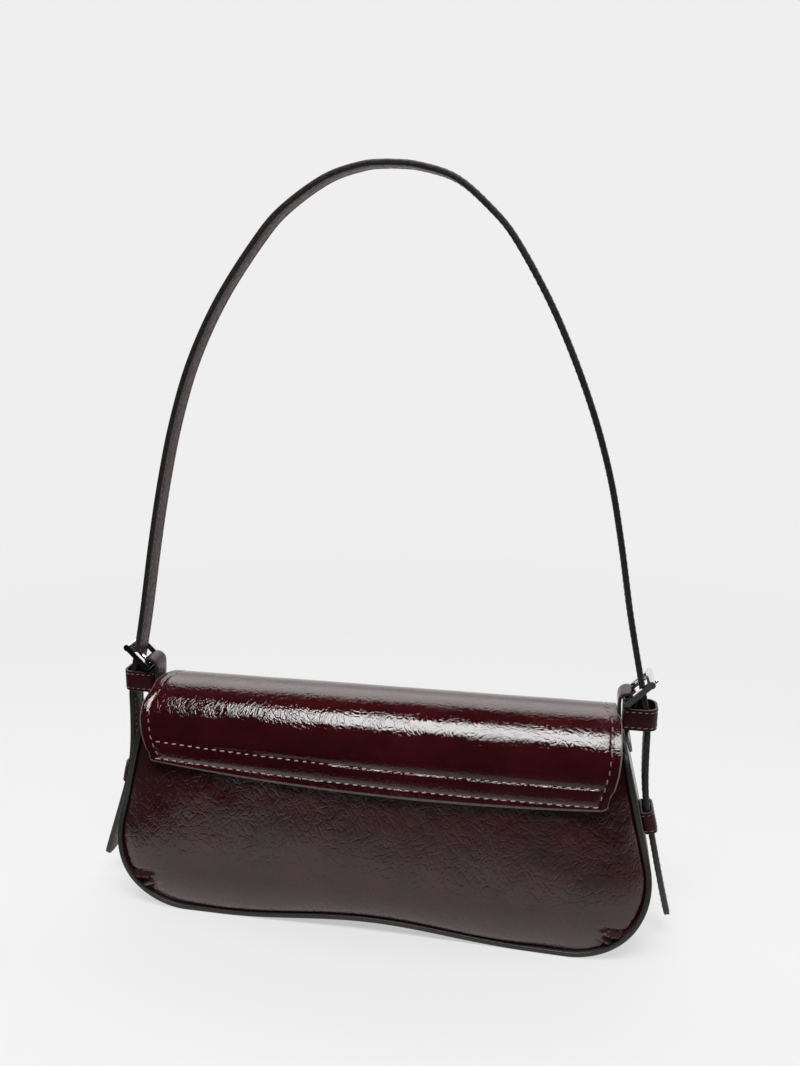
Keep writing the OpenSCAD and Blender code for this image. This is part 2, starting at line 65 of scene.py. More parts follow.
class Sock:
    """A node's output that takes part in arithmetic."""

    def __init__(self, tree: "Tree", socket: bpy.types.NodeSocket) -> None:
        """Wraps a socket.

        Args:
            tree: The tree that the socket's node is in.
            socket: The output socket.
        """
        self.tree = tree
        self.socket = socket

    @staticmethod
    def kind_of(value: "Value") -> str:
        """VALUE, VECTOR or RGBA, for a socket, a number or a triple."""
        plain = "VECTOR" if isinstance(value, tuple) else "VALUE"
        return value.socket.type if isinstance(value, Sock) else plain

    def _join(self, other: "Value", operation: str, swapped: bool = False) -> "Sock":
        """One operation between this socket and another value.

        Args:
            other: A socket, number or triple.
            operation: A Math or Vector Math operation's name.
            swapped: True if the other value comes first.

        Returns:
            The result's socket.
        """
        pair = (other, self) if swapped else (self, other)
        kinds = {self.kind_of(v) for v in pair}
        if "RGBA" in kinds:
            return self.tree.mix(pair[0], pair[1], 1.0, operation)
        if kinds == {"VALUE"}:
            return self.tree.node("ShaderNodeMath", {"operation": operation}, {0: pair[0], 1: pair[1]})
        wide = [v if isinstance(v, (Sock, tuple)) else (v, v, v) for v in pair]
        return self.tree.node("ShaderNodeVectorMath", {"operation": operation}, {0: wide[0], 1: wide[1]})

    def __add__(self, other: "Value") -> "Sock":
        """This plus other."""
        return self._join(other, "ADD")

    def __radd__(self, other: "Value") -> "Sock":
        """Other plus this."""
        return self._join(other, "ADD", True)

    def __sub__(self, other: "Value") -> "Sock":
        """This minus other."""
        return self._join(other, "SUBTRACT")

    def __rsub__(self, other: "Value") -> "Sock":
        """Other minus this."""
        return self._join(other, "SUBTRACT", True)

    def __mul__(self, other: "Value") -> "Sock":
        """This times other."""
        return self._join(other, "MULTIPLY")

    def __rmul__(self, other: "Value") -> "Sock":
        """Other times this."""
        return self._join(other, "MULTIPLY", True)

    def __pow__(self, other: "Value") -> "Sock":
        """This to the power of other."""
        return self._join(other, "POWER")

    def __rpow__(self, other: "Value") -> "Sock":
        """Other to the power of this."""
        return self._join(other, "POWER", True)

    def absolute(self) -> "Sock":
        """The size of a number, without its sign."""
        return self.tree.node("ShaderNodeMath", {"operation": "ABSOLUTE"}, {0: self})

    def ramp(self, low: float, high: float, to_low: float = 0.0, to_high: float = 1.0) -> "Sock":
        """A smooth step of this value.

        Args:
            low: Where the step starts.
            high: Where it ends.
            to_low: The result before it.
            to_high: The result after it.

        Returns:
            The stepped value.
        """
        sockets = {0: self, 1: low, 2: high, 3: to_low, 4: to_high}
        return self.tree.node("ShaderNodeMapRange", {"interpolation_type": "SMOOTHSTEP"}, sockets)


Value = Union[Sock, float, tuple]


class Tree:
    """A node tree that is built by calls."""

    def __init__(self, tree: bpy.types.NodeTree) -> None:
        """Wraps a tree.

        Args:
            tree: The material's or world's node tree.
        """
        self.tree = tree

    def node(
        self,
        kind: str,
        settings: Mapping[str, object] = {},
        sockets: Mapping[Union[int, str], Value] = {},
        out: Union[int, str] = 0,
    ) -> Sock:
        """Adds one node.

        Args:
            kind: The node's type name.
            settings: Its properties.
            sockets: Its inputs, by index or name.
            out: The output to return.

        Returns:
            That output.
        """
        made = self.tree.nodes.new(kind)
        for key, value in settings.items():
            setattr(made, key, value)
        self.fill(made, sockets)
        return Sock(self, made.outputs[out])

    def fill(self, node: bpy.types.Node, sockets: Mapping[Union[int, str], Value]) -> None:
        """Links or sets a node's inputs.

        Args:
            node: The node.
            sockets: For each input, by index or name, a socket to link or a plain value to set.
        """
        for key, value in sockets.items():
            socket = node.inputs[key]
            if isinstance(value, Sock):
                self.tree.links.new(value.socket, socket)
            elif isinstance(value, tuple) and socket.type == "RGBA" and len(value) == 3:
                socket.default_value = (*value, 1.0)
            else:
                socket.default_value = value

    def mix(self, a: Value, b: Value, factor: Value, blend: str = "MIX") -> Sock:
        """Mixes two colours.

        Args:
            a: The first colour.
            b: The second colour.
            factor: The second one's share.
            blend: The blend type.

        Returns:
            The mixed colour.
        """
        a, b = (v if isinstance(v, (Sock, tuple)) else (v, v, v) for v in (a, b))
        settings = {"data_type": "RGBA", "blend_type": blend}
        return self.node("ShaderNodeMix", settings, {0: factor, 6: a, 7: b}, 2)

    def place(self) -> Sock:
        """The point on the object, in millimetres."""
        return self.node("ShaderNodeTexCoord", {}, {}, "Object") * 1000.0

    def axis(self, vector: Value, name: str) -> Sock:
        """One axis of a vector, by its letter."""
        return self.node("ShaderNodeSeparateXYZ", {}, {0: vector}, name)

    def grey(self, level: Value) -> Sock:
        """A grey of a level."""
        return self.node("ShaderNodeCombineColor", {}, {0: level, 1: level, 2: level})

    def along(self, vector: Value, way: tuple) -> Sock:
        """How far a vector reaches in a direction."""
        return self.node("ShaderNodeVectorMath", {"operation": "DOT_PRODUCT"}, {0: vector, 1: way}, "Value")

    def length(self, vector: Value) -> Sock:
        """A vector's length."""
        return self.node("ShaderNodeVectorMath", {"operation": "LENGTH"}, {0: vector}, "Value")

    def bands(self, where: Value, way: str, scale: float, bend: float) -> Sock:
        """Even bands from 0 to 1.

        Args:
            where: The point, in millimetres.
            way: The direction that they follow each other in.
            scale: How close they stand.
            bend: Distortion.

        Returns:
            The value.
        """
        sockets = {"Vector": where, "Scale": scale, "Distortion": bend}
        return self.node("ShaderNodeTexWave", {"bands_direction": way}, sockets)

    def noise(
        self, where: Value, scale: float, detail: float = 2.0, rough: float = 0.5, bend: float = 0.0
    ) -> Sock:
        """A noise value from 0 to 1.

        Args:
            where: The point, in millimetres.
            scale: Features per millimetre.
            detail: Octaves.
            rough: The finer octaves' share.
            bend: Distortion.

        Returns:
            The value.
        """
        sockets = {"Vector": where, "Scale": scale, "Detail": detail, "Roughness": rough, "Distortion": bend}
        return self.node("ShaderNodeTexNoise", {}, sockets)

    def bump(self, height: Value, depth: float, strength: float, under: Sock | None = None) -> Sock:
        """A bump normal.

        Args:
            height: The height from 0 to 1.
            depth: The height's size in metres.
            strength: From 0 to 1.
            under: A bump that this one lies on.

        Returns:
            The normal.
        """
        sockets = {"Height": height, "Distance": depth, "Strength": strength}
        if under is not None:
            sockets["Normal"] = under
        return self.node("ShaderNodeBump", {}, sockets)


def scaled(colour: tuple, by: float) -> tuple:
    """A colour made darker or lighter."""
    return tuple(by * c for c in colour)


# Finishes


class Finish:
    """A material that is made once, on first use."""

    name: str

    def inputs(self, tree: Tree) -> Mapping[str, Value]:
        """What the Principled shader gets.

        Args:
            tree: The material's tree.

        Returns:
            Links and plain values, by the input's name.
        """
        raise NotImplementedError

    def material(self) -> bpy.types.Material:
        """The Blender material."""
        found = bpy.data.materials.get(self.name)
        if found is None:
            found = bpy.data.materials.new(self.name)
            found.use_nodes = True
            tree = Tree(found.node_tree)
            tree.fill(found.node_tree.nodes["Principled BSDF"], self.inputs(tree))
            log.info("material %s", self.name)
        return found


@dataclass(frozen=True)
class Patent(Finish):
    """Crinkled patent leather with a clear gloss skin.

    Attributes:
        name: The material's name.
        colour: The leather's colour; its patches are darker and lighter.
        crinkle: How deep the creases are.
        waves: How deep the broad waves are.
        slack: How much deeper the creases get toward the left end.
        grain: Creases per millimetre.
        stretch: The creases' form: below 1, they are long along that axis.
        rough: The gloss skin's roughness.
        gloss: Its specular level.
        ior: Its index of refraction.
        painted_sheen: A pale tone painted on as light: a sheen on the creases and the floor's reflection near
            the bottom.
        crease_sheen: That painted sheen's share on the creases.
        foot: The painted floor reflection's share near the floor.
    """

    name: str
    colour: tuple
    crinkle: float = 1.0
    waves: float = 0.35
    slack: float = 0.0
    grain: float = 0.42
    stretch: tuple = (1.0, 1.0, 0.55)
    rough: float = 0.09
    gloss: float = 0.5
    ior: float = 1.7
    painted_sheen: tuple = (0.075, 0.048, 0.052)
    crease_sheen: float = 0.0
    foot: float = 0.0

    def inputs(self, tree: Tree) -> Mapping[str, Value]:
        """See Finish.inputs.

        Args:
            tree: The material's tree.

        Returns:
            Colour in soft patches with a painted sheen on the creases and a painted floor reflection near the
            bottom, an uneven gloss, and waves, creases and pores on each other.
        """
        place = tree.place()
        drift = tree.node("ShaderNodeTexNoise", {}, {"Vector": place, "Scale": 0.045, "Detail": 2.0}, "Color")
        long = (place + (drift - (0.5, 0.5, 0.5)) * 16.0) * self.stretch
        folds = 1.0 - (tree.noise(long, self.grain, 3.0, 0.55, 0.6) * 2.0 - 1.0).absolute()
        cell_sockets = {"Vector": long, "Scale": self.grain * 0.8}
        cells = tree.node("ShaderNodeTexVoronoi", {"feature": "DISTANCE_TO_EDGE"}, cell_sockets)
        creases = (folds ** 2.2) * 0.75 + cells.ramp(0.0, 0.16) * 0.45
        creases = creases * tree.noise(place, 0.03, 2.0).ramp(0.32, 0.7, 0.7, 1.0)
        slack = tree.axis(place, "X").ramp(-45.0, -100.0, 1.0, 1.0 + self.slack)
        waves = tree.bump(tree.noise(place, 0.07, 2.0), 0.0016, self.waves)
        fine = tree.bump(creases * slack, 0.00034, 0.55 * self.crinkle, waves)
        tone = tree.noise(place, 0.05, 3.0).ramp(0.3, 0.75)
        leather = tree.mix(scaled(self.colour, 0.72), scaled(self.colour, 1.25), tone)
        # Painted sheen: the creases take a paler colour that stands in for their glints.
        with_crease_sheen = tree.mix(leather, self.painted_sheen, (creases * self.crinkle).ramp(0.55, 1.05, 0.0, self.crease_sheen))
        # Painted reflection: the colour turns paler toward the bottom, standing in for the bright floor
        # mirrored there.
        low = tree.axis(place, "Z").ramp(26.0, 8.0, 0.0, self.foot)
        return {
            "Base Color": tree.mix(with_crease_sheen, self.painted_sheen, low),
            "Roughness": tree.noise(place, 0.4, 2.0).ramp(0.3, 0.8, 0.8 * self.rough, 1.3 * self.rough),
            "Normal": tree.bump(tree.noise(place, 2.6, 2.0), 0.00004, 0.25 * self.crinkle, fine),
            "IOR": self.ior,
            "Specular IOR Level": self.gloss,
        }


@dataclass(frozen=True)
class Paint(Finish):
    """Edge paint: thick, slightly uneven, half matt."""

    name: str
    colour: tuple
    rough: float = 0.42

    def inputs(self, tree: Tree) -> Mapping[str, Value]:
        """See Finish.inputs.

        Args:
            tree: The material's tree.

        Returns:
            Colour, roughness and height that follow the layers of paint.
        """
        layers = tree.noise(tree.place(), 0.9, 3.0)
        return {
            "Base Color": tree.mix(self.colour, scaled(self.colour, 1.5), layers.ramp(0.35, 0.75)),
            "Roughness": layers.ramp(0.3, 0.7, self.rough - 0.08, self.rough + 0.1),
            "Normal": tree.bump(layers, 0.0001, 0.5),
        }


@dataclass(frozen=True)
class Thread(Finish):
    """Twisted sewing thread."""

    name: str
    colour: tuple

    def inputs(self, tree: Tree) -> Mapping[str, Value]:
        """See Finish.inputs.

        Args:
            tree: The material's tree.

        Returns:
            Colour and height that follow the twist.
        """
        twist = tree.bands(tree.place(), "DIAGONAL", 1.6, 0.4)
        return {
            "Base Color": tree.mix(scaled(self.colour, 0.7), self.colour, twist),
            "Normal": tree.bump(twist, 0.0001, 0.6),
            "Roughness": 0.5,
            "Sheen Weight": 0.3,
        }


@dataclass(frozen=True)
class Metal(Finish):
    """Plated metal with faint wear."""

    name: str
    colour: tuple
    rough: float = 0.06

    def inputs(self, tree: Tree) -> Mapping[str, Value]:
        """See Finish.inputs.

        Args:
            tree: The material's tree.

        Returns:
            Smudges in colour and roughness, over fine polishing lines.
        """
        place = tree.place()
        smudge = tree.noise(place, 0.25, 3.0)
        lines = tree.noise(place * (1.0, 8.0, 1.0), 1.2, 2.0)
        return {
            "Base Color": tree.mix(self.colour, scaled(self.colour, 0.9), smudge.ramp(0.4, 0.8)),
            "Roughness": smudge.ramp(0.35, 0.8, self.rough, self.rough + 0.09),
            "Normal": tree.bump(lines, 0.00002, 0.2),
            "Metallic": 1.0,
        }


@dataclass(frozen=True)
class Cloth(Finish):
    """Plain woven lining."""

    name: str
    colour: tuple

    def inputs(self, tree: Tree) -> Mapping[str, Value]:
        """See Finish.inputs.

        Args:
            tree: The material's tree.

        Returns:
            Colour and height that follow weft and warp.
        """
        place = tree.place()
        weave = tree.bands(place, "Z", 0.384, 0.3) * 0.5 + tree.bands(place, "X", 0.384, 0.3) * 0.5
        return {
            "Base Color": tree.mix(scaled(self.colour, 0.75), scaled(self.colour, 1.3), weave),
            "Normal": tree.bump(weave, 0.0002, 0.5),
            "Roughness": 0.85,
            "Sheen Weight": 0.25,
        }


@dataclass(frozen=True)
class Board(Finish):
    """Raw fibre board."""

    name: str
    colour: tuple

    def inputs(self, tree: Tree) -> Mapping[str, Value]:
        """See Finish.inputs.

        Args:
            tree: The material's tree.

        Returns:
            Colour and height that follow the flecks.
        """
        flecks = tree.noise(tree.place(), 1.4, 4.0, 0.7)
        return {
            "Base Color": tree.mix(scaled(self.colour, 0.7), self.colour, flecks.ramp(0.3, 0.6)),
            "Normal": tree.bump(flecks, 0.0001, 0.5),
            "Roughness": 0.9,
        }


@dataclass(frozen=True)
class Floor(Finish):
    """The pale studio floor, which glows with painted light, takes a soft shadow, fades into the backdrop and
    has painted shade off the frame.

    Attributes:
        name: The material's name.
        near: Base colour and glow close to the bag.
        far: Base colour and glow away from it.
        oval: How the distance from the bag counts along each axis.
        spread: The distances between which near turns into far, in millimetres.
        ahead: The direction away from the camera's lower frame line, on the floor.
        front: The share of colour and glow left before that line as painted shade, in two steps: the share,
            and where the step starts and ends.
        beside: The direction away from the camera's left frame line, on the floor.
        left: The share of colour and glow left before that line as painted shade, in one such step.
        fade: The distances between which the floor turns clear.
    """

    name: str
    near: tuple
    far: tuple
    oval: tuple = (0.75, 2.2, 1.0)
    spread: tuple = (62.0, 130.0)
    ahead: tuple = (-0.186, 1.0, 0.0)
    front: tuple = ((0.42, -160.0, -121.0), (0.12, -290.0, -180.0))
    beside: tuple = (1.0, 0.6355, 0.0)
    left: tuple = (0.08, -330.0, -235.0)
    fade: tuple = (420.0, 900.0)

    def inputs(self, tree: Tree) -> Mapping[str, Value]:
        """See Finish.inputs.

        Args:
            tree: The material's tree.

        Returns:
            Colour, glow and transparency by place, without gloss.
        """
        place = tree.place()
        ahead, beside = tree.along(place, self.ahead), tree.along(place, self.beside)
        # Painted shade: colour and glow drop past the frame's lower and left edges, standing in for the dim
        # room there.
        share = beside.ramp(self.left[1], self.left[2], self.left[0], 1.0)
        for left, start, end in self.front:
            share = ahead.ramp(start, end, left, 1.0) * share
        # Painted light: the floor glows; near the bag its glow is weaker and its base colour brighter, which
        # deepens the soft shadow there.
        away = tree.length(place * self.oval).ramp(*self.spread)
        colour, glow = ((a + (b - a) * away) * share for a, b in zip(self.near, self.far))
        middle = tree.length(place - (0.0, -20.0, 0.0))
        return {
            "Base Color": tree.grey(colour),
            "Emission Color": tree.grey(glow),
            "Alpha": middle.ramp(*self.fade, 1.0, 0.0),
            "Emission Strength": 1.0,
            "Roughness": 0.9,
            "Specular IOR Level": 0.0,
        }


# The front panel carries the painted sheen on its creases and the painted floor reflection near its bottom.
PATENT = Patent(
    "patent_wine", (0.034, 0.0042, 0.0060), 0.72, waves=0.07, rough=0.12, ior=1.55, crease_sheen=0.26, foot=0.55
)
FLAP_PATENT = Patent("patent_flap", (0.038, 0.0034, 0.0052), 0.46, waves=0.05, slack=0.25, rough=0.03)
STRAP_PATENT = Patent(
    "patent_strap", (0.040, 0.0075, 0.0115), 0.35, waves=0.05, grain=0.7, rough=0.42, gloss=0.2, ior=1.5
)
BACK_PATENT = Patent("patent_back", (0.036, 0.0050, 0.0080), 0.6, waves=0.15, rough=0.24, gloss=0.35, ior=1.5)
SEAM_PAINT = Paint("seam_paint", (0.016, 0.0155, 0.0135))
# The flap's edge paint, much paler than the other edges: partly its own paint, partly painted light for the
# floor's light that its lower edge catches.
FLAP_EDGE_PAINTED_LIGHT = Paint("flap_edge", (0.105, 0.088, 0.083), 0.4)
EDGE_PAINT = Paint("edge_paint", (0.018, 0.016, 0.0145))
THREAD = Thread("thread_rose", (0.60, 0.43, 0.44))
STRAP_THREAD = Thread("thread_wine", (0.30, 0.19, 0.20))
CHROME = Metal("chrome", (0.80, 0.81, 0.83))
STEEL = Metal("steel", (0.55, 0.55, 0.56), 0.25)
LINING = Cloth("lining_cloth", (0.030, 0.024, 0.025))
FIBRE = Board("fibre_board", (0.36, 0.28, 0.20))
FLOOR = Floor("studio_floor", (0.36, 0.50), (0.20, 0.675))


# Bodies and slots


class Slot(Enum):
    """The record's material slots."""

    PATENT = "patent_leather"
    STRAP = "strap_leather"
    GUSSET = "gusset_leather"
    LINING = "lining"


class Part(Enum):
    """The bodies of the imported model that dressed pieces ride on."""

    BAG = "bag"
    FLAP = "flap"
    STRAP = "strap"


class Fold(Enum):
    """Where leather bends between the bag and a moving body: from and to, in millimetres."""

    FLAP = ((0.0, 30.5, 91.0), (0.0, 27.5, 97.5))
    STRAP = ((0.0, 0.0, 108.0), (0.0, 0.0, 117.0))


def offer(made: bpy.types.Object, part: Part, slot: Slot, *nodes: str) -> None:
    """Puts a finished piece on its body.

    Args:
        made: The piece.
        part: The body that it rides on.
        slot: Not used.
        nodes: The CAD nodes that it stands for.
    """
    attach(made, part.value)
    if nodes:
        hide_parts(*nodes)


def bend(made: bpy.types.Object, to: Part, slot: Slot, *nodes: str) -> None:
    """Bakes a finished piece's transform into its mesh and hides the CAD nodes that it stands for.

    Args:
        made: The piece.
        to: Not used.
        slot: Not used.
        nodes: The CAD nodes that it stands for.
    """
    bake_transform(made)
    if nodes:
        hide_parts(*nodes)


def dress(node: str, finish: Finish, sharp: float = 30.0, bevel: float = 0.0) -> None:
    """Gives a rigid CAD node its material, smooth faces and, if wanted, softened edges.

    Args:
        node: The node's name.
        finish: Its material.
        sharp: The angle above which an edge stays sharp, in degrees.
        bevel: The softened edges' width in millimetres.
    """
    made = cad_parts[node]
    mesh = made.data
    mesh.materials.clear()
    mesh.materials.append(finish.material())
    mesh.polygons.foreach_set("use_smooth", [True] * len(mesh.polygons))
    mesh.set_sharp_from_angle(angle=math.radians(sharp))
    if bevel:
        modifier = made.modifiers.new("soft_edges", "BEVEL")
        modifier.width, modifier.segments, modifier.limit_method = bevel * MM, 2, "ANGLE"
        modifier.angle_limit = math.radians(sharp)
    log.info("dressed %s", node)


# Lines and curves


def unit(v: np.ndarray) -> np.ndarray:
    """The vectors in the last axis, at length 1."""
    return v / np.maximum(np.linalg.norm(v, axis=-1, keepdims=True), 1e-9)


def smoothstep(t: np.ndarray) -> np.ndarray:
    """A smooth step from 0 to 1, as the position goes from 0 to 1."""
    t = np.clip(t, 0.0, 1.0)
    return t * t * (3.0 - 2.0 * t)


def lengths(points: np.ndarray) -> np.ndarray:
    """The distance along a polyline at each of its points."""
    return np.concatenate([[0.0], np.cumsum(np.linalg.norm(np.diff(points, axis=0), axis=1))])


def sample(values: np.ndarray, run: np.ndarray, at: np.ndarray) -> np.ndarray:
    """Values between the rows of an array.

    Args:
        values: One row for each distance.
        run: The rows' distances along a line.
        at: The wanted distances.

    Returns:
        One row for each wanted distance.
    """
    return np.stack([np.interp(at, run, values[:, k]) for k in range(values.shape[1])], axis=1)


def evenly(points: np.ndarray, step: float) -> np.ndarray:
    """Points at even steps along a polyline.

    Args:
        points: The polyline.
        step: The wanted step.

    Returns:
        The points, ends kept.
    """
    run = lengths(points)
    return sample(points, run, np.linspace(0.0, run[-1], max(2, int(round(run[-1] / step)) + 1)))


def round_off(points: np.ndarray, times: int) -> np.ndarray:
    """Cuts a polyline's corners.

    Args:
        points: The polyline.
        times: How often.

    Returns:
        A smoother polyline with the same ends.
    """
    for _ in range(times):
        a, b = points[:-1], points[1:]
        cut_points = np.stack([a * 0.75 + b * 0.25, a * 0.25 + b * 0.75], axis=1).reshape(-1, points.shape[1])
        points = np.vstack([points[:1], cut_points[1:-1], points[-1:]])
    return points


def bezier(a: Sequence[float], b: Sequence[float], c: Sequence[float], d: Sequence[float]) -> np.ndarray:
    """Points on a cubic curve.

    Args:
        a: Its start.
        b: The first handle.
        c: The second handle.
        d: Its end.

    Returns:
        The points.
    """
    t = np.linspace(0.0, 1.0, 41)[:, None]
    a, b, c, d = (np.asarray(p, float) for p in (a, b, c, d))
    return a * (1 - t) ** 3 + 3 * b * t * (1 - t) ** 2 + 3 * c * t * t * (1 - t) + d * t ** 3


def through(points: np.ndarray, steps: int) -> np.ndarray:
    """A smooth curve through points.

    Args:
        points: The points.
        steps: Steps between each pair.

    Returns:
        The curve's points.
    """
    padded = np.vstack([2 * points[0] - points[1], points, 2 * points[-1] - points[-2]])
    out = [points[:1]]
    t = np.linspace(0.0, 1.0, steps + 1)[1:, None]
    for a, b, c, d in zip(padded, padded[1:], padded[2:], padded[3:]):
        square, cube = 2 * a - 5 * b + 4 * c - d, 3 * b - a - 3 * c + d
        out.append(0.5 * (2 * b + (c - a) * t + square * t * t + cube * t ** 3))
    return np.vstack(out)


def ribbon(line: np.ndarray, up: float) -> tuple:
    """A line in the XZ plane as a ribbon's path.

    Args:
        line: Points as x and z.
        up: 1 if the ribbon's outer side faces up at the line's middle, and -1 if it faces down.

    Returns:
        The path, its outward normals and its width directions.
    """
    along = unit(np.gradient(line, axis=0))
    path = np.stack([line[:, 0], np.zeros(len(line)), line[:, 1]], axis=1)
    normal = np.stack([-along[:, 1], np.zeros(len(line)), along[:, 0]], axis=1)
    if normal[len(line) // 2][2] * up < 0:
        normal = -normal
    return path, normal, np.tile(Y_AXIS, (len(line), 1))


def ripple(points: np.ndarray, scale: float, seed: float, long: float = 1.0) -> np.ndarray:
    """Soft noise at points, from about -1 to 1.

    Args:
        points: Points in millimetres.
        scale: Features per millimetre.
        seed: Moves the pattern.
        long: Below 1, the features are that much longer upward.

    Returns:
        One value for each point.
    """
    flat = (points * np.array([1.0, 1.0, long])).reshape(-1, 3) * scale + seed
    out = [noise.fractal(Vector(p), 0.6, 2.0, 3) for p in flat]
    return np.array(out).reshape(points.shape[:-1])


# Meshes


@dataclass
class Builder:
    """Collects vertices and faces of one piece, in millimetres."""

    name: str
    verts: list = field(default_factory=list)
    faces: list = field(default_factory=list)
    marks: list = field(default_factory=list)
    count: int = 0

    def points(self, pts: np.ndarray) -> np.ndarray:
        """Adds points.

        Args:
            pts: Points of any grid shape.

        Returns:
            Their numbers, in the same grid.
        """
        flat = pts.reshape(-1, 3)
        ids = np.arange(self.count, self.count + len(flat)).reshape(pts.shape[:-1])
        self.verts.append(flat)
        self.count += len(flat)
        return ids

    def skin(self, ids: np.ndarray, mark: Union[int, np.ndarray] = 0) -> None:
        """Joins a grid of points with quads.

        Args:
            ids: Point numbers, rows by columns.
            mark: The material's number, or a number for each quad that broadcasts to rows by columns.
        """
        rows, cols = ids.shape
        marks = np.broadcast_to(np.asarray(mark), (rows - 1, cols - 1))
        for j in range(cols - 1):
            for i in range(rows - 1):
                self.faces.append((ids[i, j], ids[i, j + 1], ids[i + 1, j + 1], ids[i + 1, j]))
                self.marks.append(int(marks[i, j]))

    def face(self, ids: Iterable[int], mark: int) -> None:
        """Adds one face.

        Args:
            ids: Its corners.
            mark: The material's number.
        """
        self.faces.append(tuple(ids))
        self.marks.append(mark)

    def build(self, finishes: Sequence[Finish], sharp: float = 50.0) -> bpy.types.Object:
        """Makes the object.

        Args:
            finishes: The materials, by number.
            sharp: The angle above which an edge stays sharp, in degrees.

        Returns:
            The object, at the origin.
        """
        mesh = bpy.data.meshes.new(self.name)
        faces = [tuple(int(i) for i in f) for f in self.faces]
        mesh.from_pydata((np.concatenate(self.verts) * MM).tolist(), [], faces)
        for finish in finishes:
            mesh.materials.append(finish.material())
        mesh.polygons.foreach_set("material_index", self.marks)
        work = bmesh.new()
        work.from_mesh(mesh)
        bmesh.ops.recalc_face_normals(work, faces=work.faces)
        work.to_mesh(mesh)
        work.free()
        mesh.polygons.foreach_set("use_smooth", [True] * len(mesh.polygons))
        mesh.set_sharp_from_angle(angle=math.radians(sharp))
        made = bpy.data.objects.new(self.name, mesh)
        bpy.context.scene.collection.objects.link(made)
        log.info("piece %s: %d faces", self.name, len(mesh.polygons))
        return made


def leather_sheet(
    name: str,
    outer: np.ndarray,
    thickness: float,
    finishes: Sequence[Finish],
    outward: Sequence[float],
    crown: float = 0.3,
    rim: tuple = (0, 0),
) -> bpy.types.Object:
    """A sheet with rounded, painted edges.

    Args:
        name: The piece's name.
        outer: The outer face's grid.
        thickness: In millimetres.
        finishes: Face, edge and back.
        outward: A direction on the outer side, at the grid's middle.
        crown: How far the edge swells, as a share of the thickness.
        rim: How many quads along the sides and along the last column take the edge's paint.

    Returns:
        The object.
    """
    normal = unit(np.cross(np.gradient(outer, axis=0), np.gradient(outer, axis=1)))
    rows, cols, _ = outer.shape
    side, end = np.arange(rows - 1)[:, None], np.arange(cols - 1)[None, :]
    painted = (np.minimum(side, rows - 2 - side) < rim[0]) | (cols - 2 - end < rim[1])
    if np.dot(normal[rows // 2, cols // 2], outward) < 0:
        normal = -normal
    inner = outer - normal * thickness
    build = Builder(name)
    top, low = build.points(outer), build.points(inner)
    build.skin(top, painted.astype(int))
    build.skin(low, 2)
    loop = (
        [(0, j) for j in range(cols)]
        + [(i, cols - 1) for i in range(1, rows)]
        + [(rows - 1, j) for j in range(cols - 2, -1, -1)]
        + [(i, 0) for i in range(rows - 2, 0, -1)]
    )
    out = np.zeros((len(loop), 3))
    for k, (i, j) in enumerate(loop):
        way = np.zeros(3)
        if i in (0, rows - 1):
            way += unit(outer[i, j] - outer[1 if i == 0 else rows - 2, j])
        if j in (0, cols - 1):
            way += unit(outer[i, j] - outer[i, 1 if j == 0 else cols - 2])
        out[k] = unit(way)
    a = np.array([outer[i, j] for i, j in loop])
    b = np.array([inner[i, j] for i, j in loop])
    rings = [np.array([top[i, j] for i, j in loop])]
    for share, swell in ((0.16, 0.7), (0.5, 1.0), (0.84, 0.7)):
        rings.append(build.points(a * (1 - share) + b * share + out * swell * crown * thickness))
    rings.append(np.array([low[i, j] for i, j in loop]))
    band = np.array(rings).T
    build.skin(np.vstack([band, band[:1]]), 1)
    return build.build(finishes)


@dataclass(frozen=True)
class Profile:
    """A strip's cross-section: points as (side share, inset from the edge, height)."""

    points: tuple
    edge: float

    @staticmethod
    def strip(
        thick: float, edge: float, rows: Sequence[float] = (), groove: float = 0.0, crown: float = 0.0
    ) -> "Profile":
        """A flat strip with rounded edges and grooves under its stitch rows.

        Args:
            thick: The strip's thickness.
            edge: The radius of its edges.
            rows: Each stitch row's inset.
            groove: The grooves' depth.
            crown: How far the faces swell.

        Returns:
            The profile.
        """
        half, wide, round_ = thick / 2, 0.45, edge * 0.3
        face = [(-1.0, edge, half)]
        for row in rows:
            face += [(-1.0, row - wide, half), (-1.0, row, half - groove), (-1.0, row + wide, half)]
        face += [(-0.5, 0.0, half + crown * 0.7), (0.0, 0.0, half + crown), (0.5, 0.0, half + crown * 0.7)]
        for row in reversed(list(rows)):
            face += [(1.0, row + wide, half), (1.0, row, half - groove), (1.0, row - wide, half)]
        face += [(1.0, edge, half)]
        side = [(1.0, round_, half - round_), (1.0, 0.0, half - edge), (1.0, 0.0, edge - half)]
        side += [(1.0, round_, round_ - half)]
        turned = [(-share, inset, -high) for share, inset, high in face + side]
        return Profile(tuple(face + side + turned), edge)

    def marks(self) -> np.ndarray:
        """The material number of each side of the loop: 1 on the edges."""
        out = []
        for a, b in zip(self.points, self.points[1:] + self.points[:1]):
            on_edge = min(a[1], b[1]) < self.edge - 1e-6 and abs(a[0]) == 1.0
            out.append(1 if on_edge and a[0] == b[0] else 0)
        return np.array(out)


